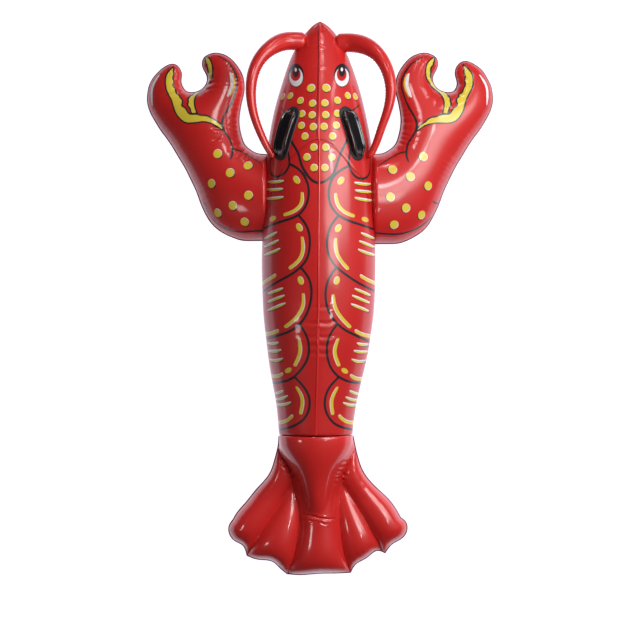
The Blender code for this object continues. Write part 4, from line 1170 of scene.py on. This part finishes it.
def make_fan(pitch=0.0042):
    """The fan of five lobes with the tongue on it, and the weld round it."""
    runs = [evenly(curve_through(from_view(run, FAN_SEAM_Z + 0.02), 400), pitch) for run in FAN_RUNS]
    outline = np.vstack([run[:-1] for run in runs] + [runs[-1][-1:]])
    direction = np.gradient(outline, axis=0)
    outward = np.stack([direction[:, 1], -direction[:, 0]], axis=1)
    outward /= np.linalg.norm(outward, axis=1)[:, None]
    reach = 3
    inner = len(outward) - reach
    blurred = outward.copy()
    for k in range(1, reach + 1):
        blurred[reach:-reach] += outward[reach - k : inner - k] + outward[reach + k : inner + k]
    outward = blurred / np.linalg.norm(blurred, axis=1)[:, None]
    if (outward[len(outward) // 2] @ [0, -1]) < 0:
        outward = -outward
    loop = outline - outward * 0.6 * FLANGE
    closing = evenly(np.array([loop[-1], loop[0]]), pitch)[1:-1]
    closed = np.vstack([loop, closing])
    rim = np.vstack([closed, closed[:1]])
    welds = [evenly(curve_through(from_view(knots, 0.09), 300), pitch) for knots in FAN_WELDS]
    welds = [line[inside(line, closed) & (distance_to(line, rim) > 0.5 * pitch)] for line in welds]
    verts, faces = triangulate(closed, welds, pitch, (0.0007, 0.0021, 0.0048))
    on_edge = distance_to(verts, rim) < TOUCH
    from_weld = np.min([distance_to(verts, line) for line in welds], axis=0)
    swell = membrane(verts, faces, on_edge | (from_weld < TOUCH))
    valley = FAN_VALLEY * (1 - np.exp(-distance_to(verts, loop) / 0.045))
    lobe = valley + (FAN_LOBE - valley) * (swell / FAN_LOBE_HALF_WIDTH) ** 1.2
    lobe[on_edge] = 0
    x, y = verts[:, 0], verts[:, 1]
    x = x - bend_at(y)
    fall = np.clip((JOINT_Y - y) / 0.26, 0, 1)
    fall = fall * fall * (3 - 2 * fall)
    seam = widest_at(JOINT_Y) + (FAN_SEAM_Z - widest_at(JOINT_Y)) * fall
    top_line = float(verts[:, 1].max())
    share = np.abs(x) / tongue_half_width_at(y)
    across = np.clip(share, 0, 1)
    over = np.where(y > TONGUE_END_Y, np.sqrt(1 - across**2) ** 0.92 * (tongue_top_at(y) - seam), 0)
    below = np.where(y > TONGUE_END_Y, np.sqrt(1 - across**2) * (seam + 0.010) * (1 - fall), 0)
    blend = 0.006
    melt = np.maximum(blend - np.abs(lobe - over), 0) ** 2 / (4 * blend)
    joined = np.maximum(lobe, over) + melt * (lobe > 0.004)
    away, at = nearest_on(verts, loop)
    ripple = 0.5 + 0.5 * wave(at, 0.034, 4.0)
    some = patches(at, 0.13, 1.0)
    pull = (0.0004 + 0.0016 * some) * ripple**2 * np.exp(-((away / (0.016 + 0.02 * some)) ** 2))
    joined = joined - pull * (joined > 0.01)
    joined += BEAD[0] * np.exp(-((from_weld / BEAD[1]) ** 2)) * (lobe > over) * (joined > 0.012)
    from_side = (1 - share) * tongue_half_width_at(y)
    wrinkled = np.exp(-(((y - WRINKLES_Y) / 0.065) ** 4)) * np.exp(-((from_side / 0.010) ** 2))
    joined -= WRINKLES_DEPTH * wrinkled * (0.5 + 0.5 * wave(y, 0.017, 2.0)) * (0.3 + 0.7 * patches(y, 0.05, 3.0))
    pixels = to_view(np.column_stack([verts, seam + joined]))
    joined += creased(pixels, FAN_CREASES, 0.02, 0.6, 0.2, 2.3)
    start = np.clip(top_line - y, 0, 1)
    joined *= 1 - 0.030 * np.exp(-start / 0.0030) - 0.035 * np.exp(-start / 0.012)
    joined += bumps(verts[:, 0], y, 9.0) * np.clip(joined / 0.03, 0, 1)
    top = seam + np.maximum(joined, 0.0)
    under = np.maximum(seam - np.maximum(lobe, below), 0.0005)
    free = on_edge & (y < top_line - 1e-5)
    ends = on_edge & (np.abs(x) > 0.98 * half_width_at(JOINT_Y)) & ~free
    held = free | ends
    top[held] = under[held] = seam[held]
    plan = np.column_stack([verts[:, 0], np.minimum(y, JOINT_Y - 0.0002) + JOINT_SHIFT * np.exp(-start / 0.03)])
    points, all_faces = two_sided(plan, faces, top, under, held)
    back = np.argsort(-y)
    loop_seam = np.interp(-loop[:, 1], -y[back], seam[back])
    # The weld strip takes the dark red that carries painted shade
    weld = mesh_object("tail_fan_weld", *flange_strip(loop, outward, loop_seam, outer=0.0028), weld_red_and_shade)
    tidy(weld)
    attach(weld, "root")
    # Painted light: the fan takes the lighter copy of the red
    made = mesh_object("tail_fan_skin", points, all_faces, plain_red_painted_light)
    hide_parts("tail_fan")
    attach(made, "root")


# Creases of the tail fan: knots in view pixels, depth in metres, half width in pixels
FAN_CREASES = [
    ([(302.0, 514.2), (309, 515.2), (318, 517.4), (328, 518.8), (335, 518.2)], 0.0058, 0.9),
    ([(308, 520.2), (312, 520.8), (317, 519.6)], 0.0022, 0.8),
    ([(320, 521.0), (323.0, 523.6), (326.5, 523.2)], 0.0026, 0.8),
    ([(278.5, 459.0), (281.5, 461.4), (283.5, 459.5)], 0.0035, 1.0),
    ([(281.5, 465.5), (285.0, 466.6), (287.5, 464.5)], 0.0035, 1.0),
    ([(285.5, 471.5), (288.5, 472.6), (291.5, 470.5)], 0.0035, 1.0),
    ([(288.5, 478.0), (292.0, 478.2), (295.5, 475.5)], 0.0040, 1.0),
    ([(340.5, 470.5), (343.0, 474.0), (347.0, 475.5)], 0.0040, 1.0),
    ([(337.5, 476.5), (341.0, 479.0), (345.0, 479.6)], 0.0035, 1.0),
    ([(334.6, 480.0), (335.0, 488.0), (333.0, 500.0), (331.8, 512)], 0.0030, 1.2),
]
make_fan()


# Antennae


def make_antenna(side):
    """A tapered tube with a weld along its inner side, puckered beside it."""
    right = side > 0
    knots = [(*from_view((u, v), z), z) for u, v, z in (ANTENNA_RIGHT if right else ANTENNA_LEFT)]
    line = evenly(curve_through(knots, 600), ANTENNA_PITCH)
    tangent = np.gradient(line, axis=0)
    tangent /= np.linalg.norm(tangent, axis=1)[:, None]
    out = np.cross(tangent, [0.0, 0.0, 1.0]) * -side
    out /= np.linalg.norm(out, axis=1)[:, None]
    high = np.cross(out, tangent)
    high *= np.sign(high[:, 2])[:, None]
    count = len(line)
    share = np.linspace(0, 1, count)
    sizes = np.array(ANTENNA_RADIUS)
    radius = np.interp(share, *curve_through(sizes).T) * (1.04 if right else 1.0)
    column = to_view(line)[:, 0]
    inward = (ANTENNA_JOIN[1] - column) if right else (column - ANTENNA_JOIN[0])
    radius *= 1 - 0.22 * np.exp(-(inward**2)) - 0.25 * np.clip(inward / 2, 0, 1)
    left = (1 - share) * (count - 1) * ANTENNA_PITCH
    radius *= np.sqrt(1 - np.clip(1 - left / (1.25 * sizes[-1, 1]), 0, 1) ** 2)
    turns = np.linspace(0, 2 * math.pi, 41)[:-1]
    from_inner = np.mod(turns + math.pi, 2 * math.pi) - math.pi
    inner = np.exp(-((from_inner / 0.42) ** 2))
    outer = np.exp(-(((turns - math.pi) / 0.30) ** 2))
    weld = np.exp(-((from_inner / 0.10) ** 2))
    pucker = 0.5 + 0.5 * wave(share * count * ANTENNA_PITCH, 0.013, 3.0 + side)[:, None]
    radius = radius[:, None]
    r = radius * (1 - 0.075 * inner * pucker**2 - 0.02 * outer * pucker) + np.minimum(0.0016, 0.2 * radius) * weld
    sideways, upwards = (-r * np.cos(turns))[..., None], (r * np.sin(turns))[..., None]
    points = (line[:, None] + sideways * out[:, None] + upwards * high[:, None]).reshape(-1, 3)
    faces = [*tube_faces(count, len(turns)), range(len(turns))]
    name = "antenna_right" if right else "antenna_left"
    # Painted light: the antenna takes the lighter red
    made = mesh_object(name + "_skin", points, faces, feeler_red_painted_light)
    tidy(made)
    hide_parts(name)
    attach(made, "root")


for hand in (-1, 1):
    make_antenna(hand)


# Handles


def handle_frame(side):
    """The middle of a handle on the skin, and its directions along, across and up."""
    x, y = HANDLE_CENTRE[0] * side + HANDLE_OFFSET, HANDLE_CENTRE[1]
    small = 0.002
    centre = np.array([x, y, float(body_top_z(x, y))])
    slope_x = (body_top_z(x + small, y) - body_top_z(x - small, y)) / (2 * small)
    slope_y = (body_top_z(x, y + small) - body_top_z(x, y - small)) / (2 * small)
    up = np.array([-slope_x, -slope_y, 1.0])
    up /= np.linalg.norm(up)
    along = np.array([-side * math.sin(HANDLE_TURN), math.cos(HANDLE_TURN), 0.0])
    along -= up * (along @ up)
    along /= np.linalg.norm(along)
    across = np.cross(along, up) * side
    return centre, along, across, up


def on_skin(place, a, b, lift):
    """Points a along and b across a handle, lifted off the body's skin."""
    centre, along, across, up = place
    point = centre + np.multiply.outer(a, along) + np.multiply.outer(b, across)
    for _ in range(14):
        point = point - np.multiply.outer((point[..., 2] - body_top_z(point[..., 0], point[..., 1])) * up[2], up)
    return point + np.multiply.outer(lift, up)


def make_handle(side):
    """A grip: an oval flange on the skin, and a strap with raised rims that arches over it."""
    place = handle_frame(side)
    name = "handle_right" if side > 0 else "handle_left"
    turns = np.linspace(0, 2 * math.pi, 145)[:-1]
    straight = FLANGE_HALF_LENGTH - FLANGE_HALF_WIDTH
    rings = []
    for share, lift in FLANGE_RINGS:
        a = share * (FLANGE_HALF_WIDTH * np.cos(turns) + np.tanh(np.cos(turns) * 6) * straight)
        b = share * FLANGE_HALF_WIDTH * np.sin(turns)
        rings.append(on_skin(place, a, b, np.full(len(turns), lift)))
    faces = tube_faces(len(rings), len(turns))
    plate = mesh_object(name + "_flange", np.vstack(rings), faces, black_flange)
    tidy(plate)
    half = curve_through(STRAP_LINE, 60)
    path = evenly(np.vstack([half, half[-2::-1] * [-1, 1]]), 0.0028)
    slope = np.gradient(path, axis=0)
    slope /= np.linalg.norm(slope, axis=1)[:, None]
    across, thick = np.array(STRAP_SECTION).T
    sections = []
    for (along, lift), (run, rise) in zip(path, slope):
        end = np.clip((STRAP_HALF_LENGTH - abs(along)) / STRAP_END_ROUND, 0, 1)
        narrow = max(0.45, math.sqrt(1 - (1 - end) ** 2))
        high = STRAP_HALF_THICKNESS * thick
        sections.append(on_skin(place, along - rise * high, STRAP_HALF_WIDTH * narrow * across, lift + run * high))
    size = len(across)
    last = size * (len(sections) - 1)
    faces = [*tube_faces(len(sections), size), range(size), range(last, last + size)]
    strap = mesh_object(name + "_strap", np.vstack(sections), faces, black_vinyl)
    tidy(strap)
    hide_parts(name)
    for piece in (plate, strap):
        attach(piece, "root")


for hand in (-1, 1):
    make_handle(hand)


# Floor, lights and camera


# The floor glows out to this far from its middle, in metres, and fades over the next GLOW_FADE
GLOW = 1.36
GLOW_FADE = 0.35


def pale_floor():
    """A pale sheet that is lit from below, like a light table."""
    material = bpy.data.materials.new("pale_floor")
    material.use_nodes = True
    tree = material.node_tree
    link = tree.links.new
    shader = tree.nodes["Principled BSDF"]
    shader.inputs["Base Color"].default_value = (0.25, 0.25, 0.27, 1)
    shader.inputs["Roughness"].default_value = 0.9
    shader.inputs["Emission Color"].default_value = (1.0, 1.0, 1.14, 1)
    place = node(tree, "ShaderNodeSeparateXYZ")
    link(node(tree, "ShaderNodeTexCoord").outputs["Object"], place.inputs[0])
    far = []
    for axis in "XY":
        side = node(tree, "ShaderNodeMath", operation="ABSOLUTE")
        link(place.outputs[axis], side.inputs[0])
        far.append(side.outputs[0])
    most = node(tree, "ShaderNodeMath", operation="MAXIMUM")
    link(far[0], most.inputs[0])
    link(far[1], most.inputs[1])
    limits = {"From Min": GLOW + GLOW_FADE, "From Max": GLOW}
    glow = node(tree, "ShaderNodeMapRange", limits, interpolation_type="SMOOTHSTEP")
    link(most.outputs[0], glow.inputs["Value"])
    link(glow.outputs["Result"], shader.inputs["Emission Strength"])
    return material


bpy.ops.mesh.primitive_plane_add(size=14.0, location=(0, 0, -0.0005))
floor = bpy.context.object
floor.name = "floor"
floor.data.materials.append(pale_floor())


def softbox(name, place, target, size, radiance, soft):
    """An area light whose brightness fades towards its edges, over the shares of its half sizes in soft."""
    data = bpy.data.lights.new(name, "AREA")
    data.shape = "RECTANGLE"
    data.size, data.size_y = size
    data.energy = math.pi * size[0] * size[1] * radiance
    data.use_nodes = True
    tree = data.node_tree
    link = tree.links.new
    place_on = node(tree, "ShaderNodeSeparateXYZ")
    link(node(tree, "ShaderNodeTexCoord").outputs["UV"], place_on.inputs[0])
    fades = []
    for axis, edge in zip("XY", soft):
        off = node(tree, "ShaderNodeMath", {1: 0.5}, operation="SUBTRACT")
        link(place_on.outputs[axis], off.inputs[0])
        far = node(tree, "ShaderNodeMath", operation="ABSOLUTE")
        link(off.outputs[0], far.inputs[0])
        limits = {"From Min": 0.5, "From Max": 0.5 - 0.5 * edge}
        fade = node(tree, "ShaderNodeMapRange", limits, interpolation_type="SMOOTHSTEP")
        link(far.outputs[0], fade.inputs["Value"])
        fades.append(fade.outputs["Result"])
    both = node(tree, "ShaderNodeMath", operation="MULTIPLY")
    link(fades[0], both.inputs[0])
    link(fades[1], both.inputs[1])
    link(both.outputs[0], tree.nodes["Emission"].inputs["Strength"])
    light = bpy.data.objects.new(name, data)
    bpy.context.scene.collection.objects.link(light)
    light.location = place
    direction = Vector(target) - Vector(place)
    light.rotation_euler = direction.to_track_quat("-Z", "Y").to_euler()


softbox("key", (2.62, 1.08, 3.40), (0.05, 0.20, 0.3), (3.1, 3.9), 7.4, (0.9, 0.4))
softbox("core", (2.00, 0.00, 3.27), (0.05, 0.05, 0.3), (1.1, 1.4), 7.5, (0.9, 0.6))
softbox("glint_high", (1.32, 1.20, 2.60), (0.05, 0.50, 0.3), (0.50, 0.30), 19.0, (0.7, 0.7))
softbox("glint_low", (1.32, -0.73, 2.60), (0.05, -0.05, 0.3), (0.46, 0.26), 24.0, (0.7, 0.7))
softbox("claw_glint", (1.86, 1.85, 2.60), (0.45, 0.75, 0.25), (0.95, 0.95), 9.5, (0.95, 0.95))
softbox("overhead", (-0.22, 1.75, 2.60), (-0.37, 0.75, 0.25), (0.90, 0.60), 15.5, (0.8, 0.8))
softbox("left_strip", (-2.20, -1.08, 2.60), (-0.2, -0.5, 0.2), (0.80, 0.75), 10.0, (0.8, 0.7))
softbox("head_light", (0.60, 3.4, 1.75), (0.0, 0.95, 0.25), (0.7, 2.4), 5.0, (0.8, 0.6))
softbox("nose_glint", (0.45, 2.87, 1.41), (0.01, 1.0, 0.24), (0.40, 0.35), 16.0, (0.7, 0.7))
softbox("head_streak", (2.30, 3.2, 2.5), (0.0, 0.85, 0.25), (0.6, 1.7), 8.0, (0.8, 0.7))

scene = bpy.context.scene
world = bpy.data.worlds.new("studio")
world.use_nodes = True
sky = world.node_tree.nodes["Background"]
sky.inputs["Color"].default_value = (0.86, 0.90, 1.0, 1)
sky.inputs["Strength"].default_value = 0.025
scene.world = world

SENSOR = 36.0
camera_data = bpy.data.cameras.new("camera")
camera_data.sensor_width = SENSOR
camera_data.lens = SENSOR * (CAMERA_Z - PLANE_Z) / (FRAME * PIXEL)
camera = bpy.data.objects.new("camera", camera_data)
scene.collection.objects.link(camera)
camera.location = (0.0, CAMERA_Y, CAMERA_Z)
scene.camera = camera
scene.view_settings.view_transform = "Standard"
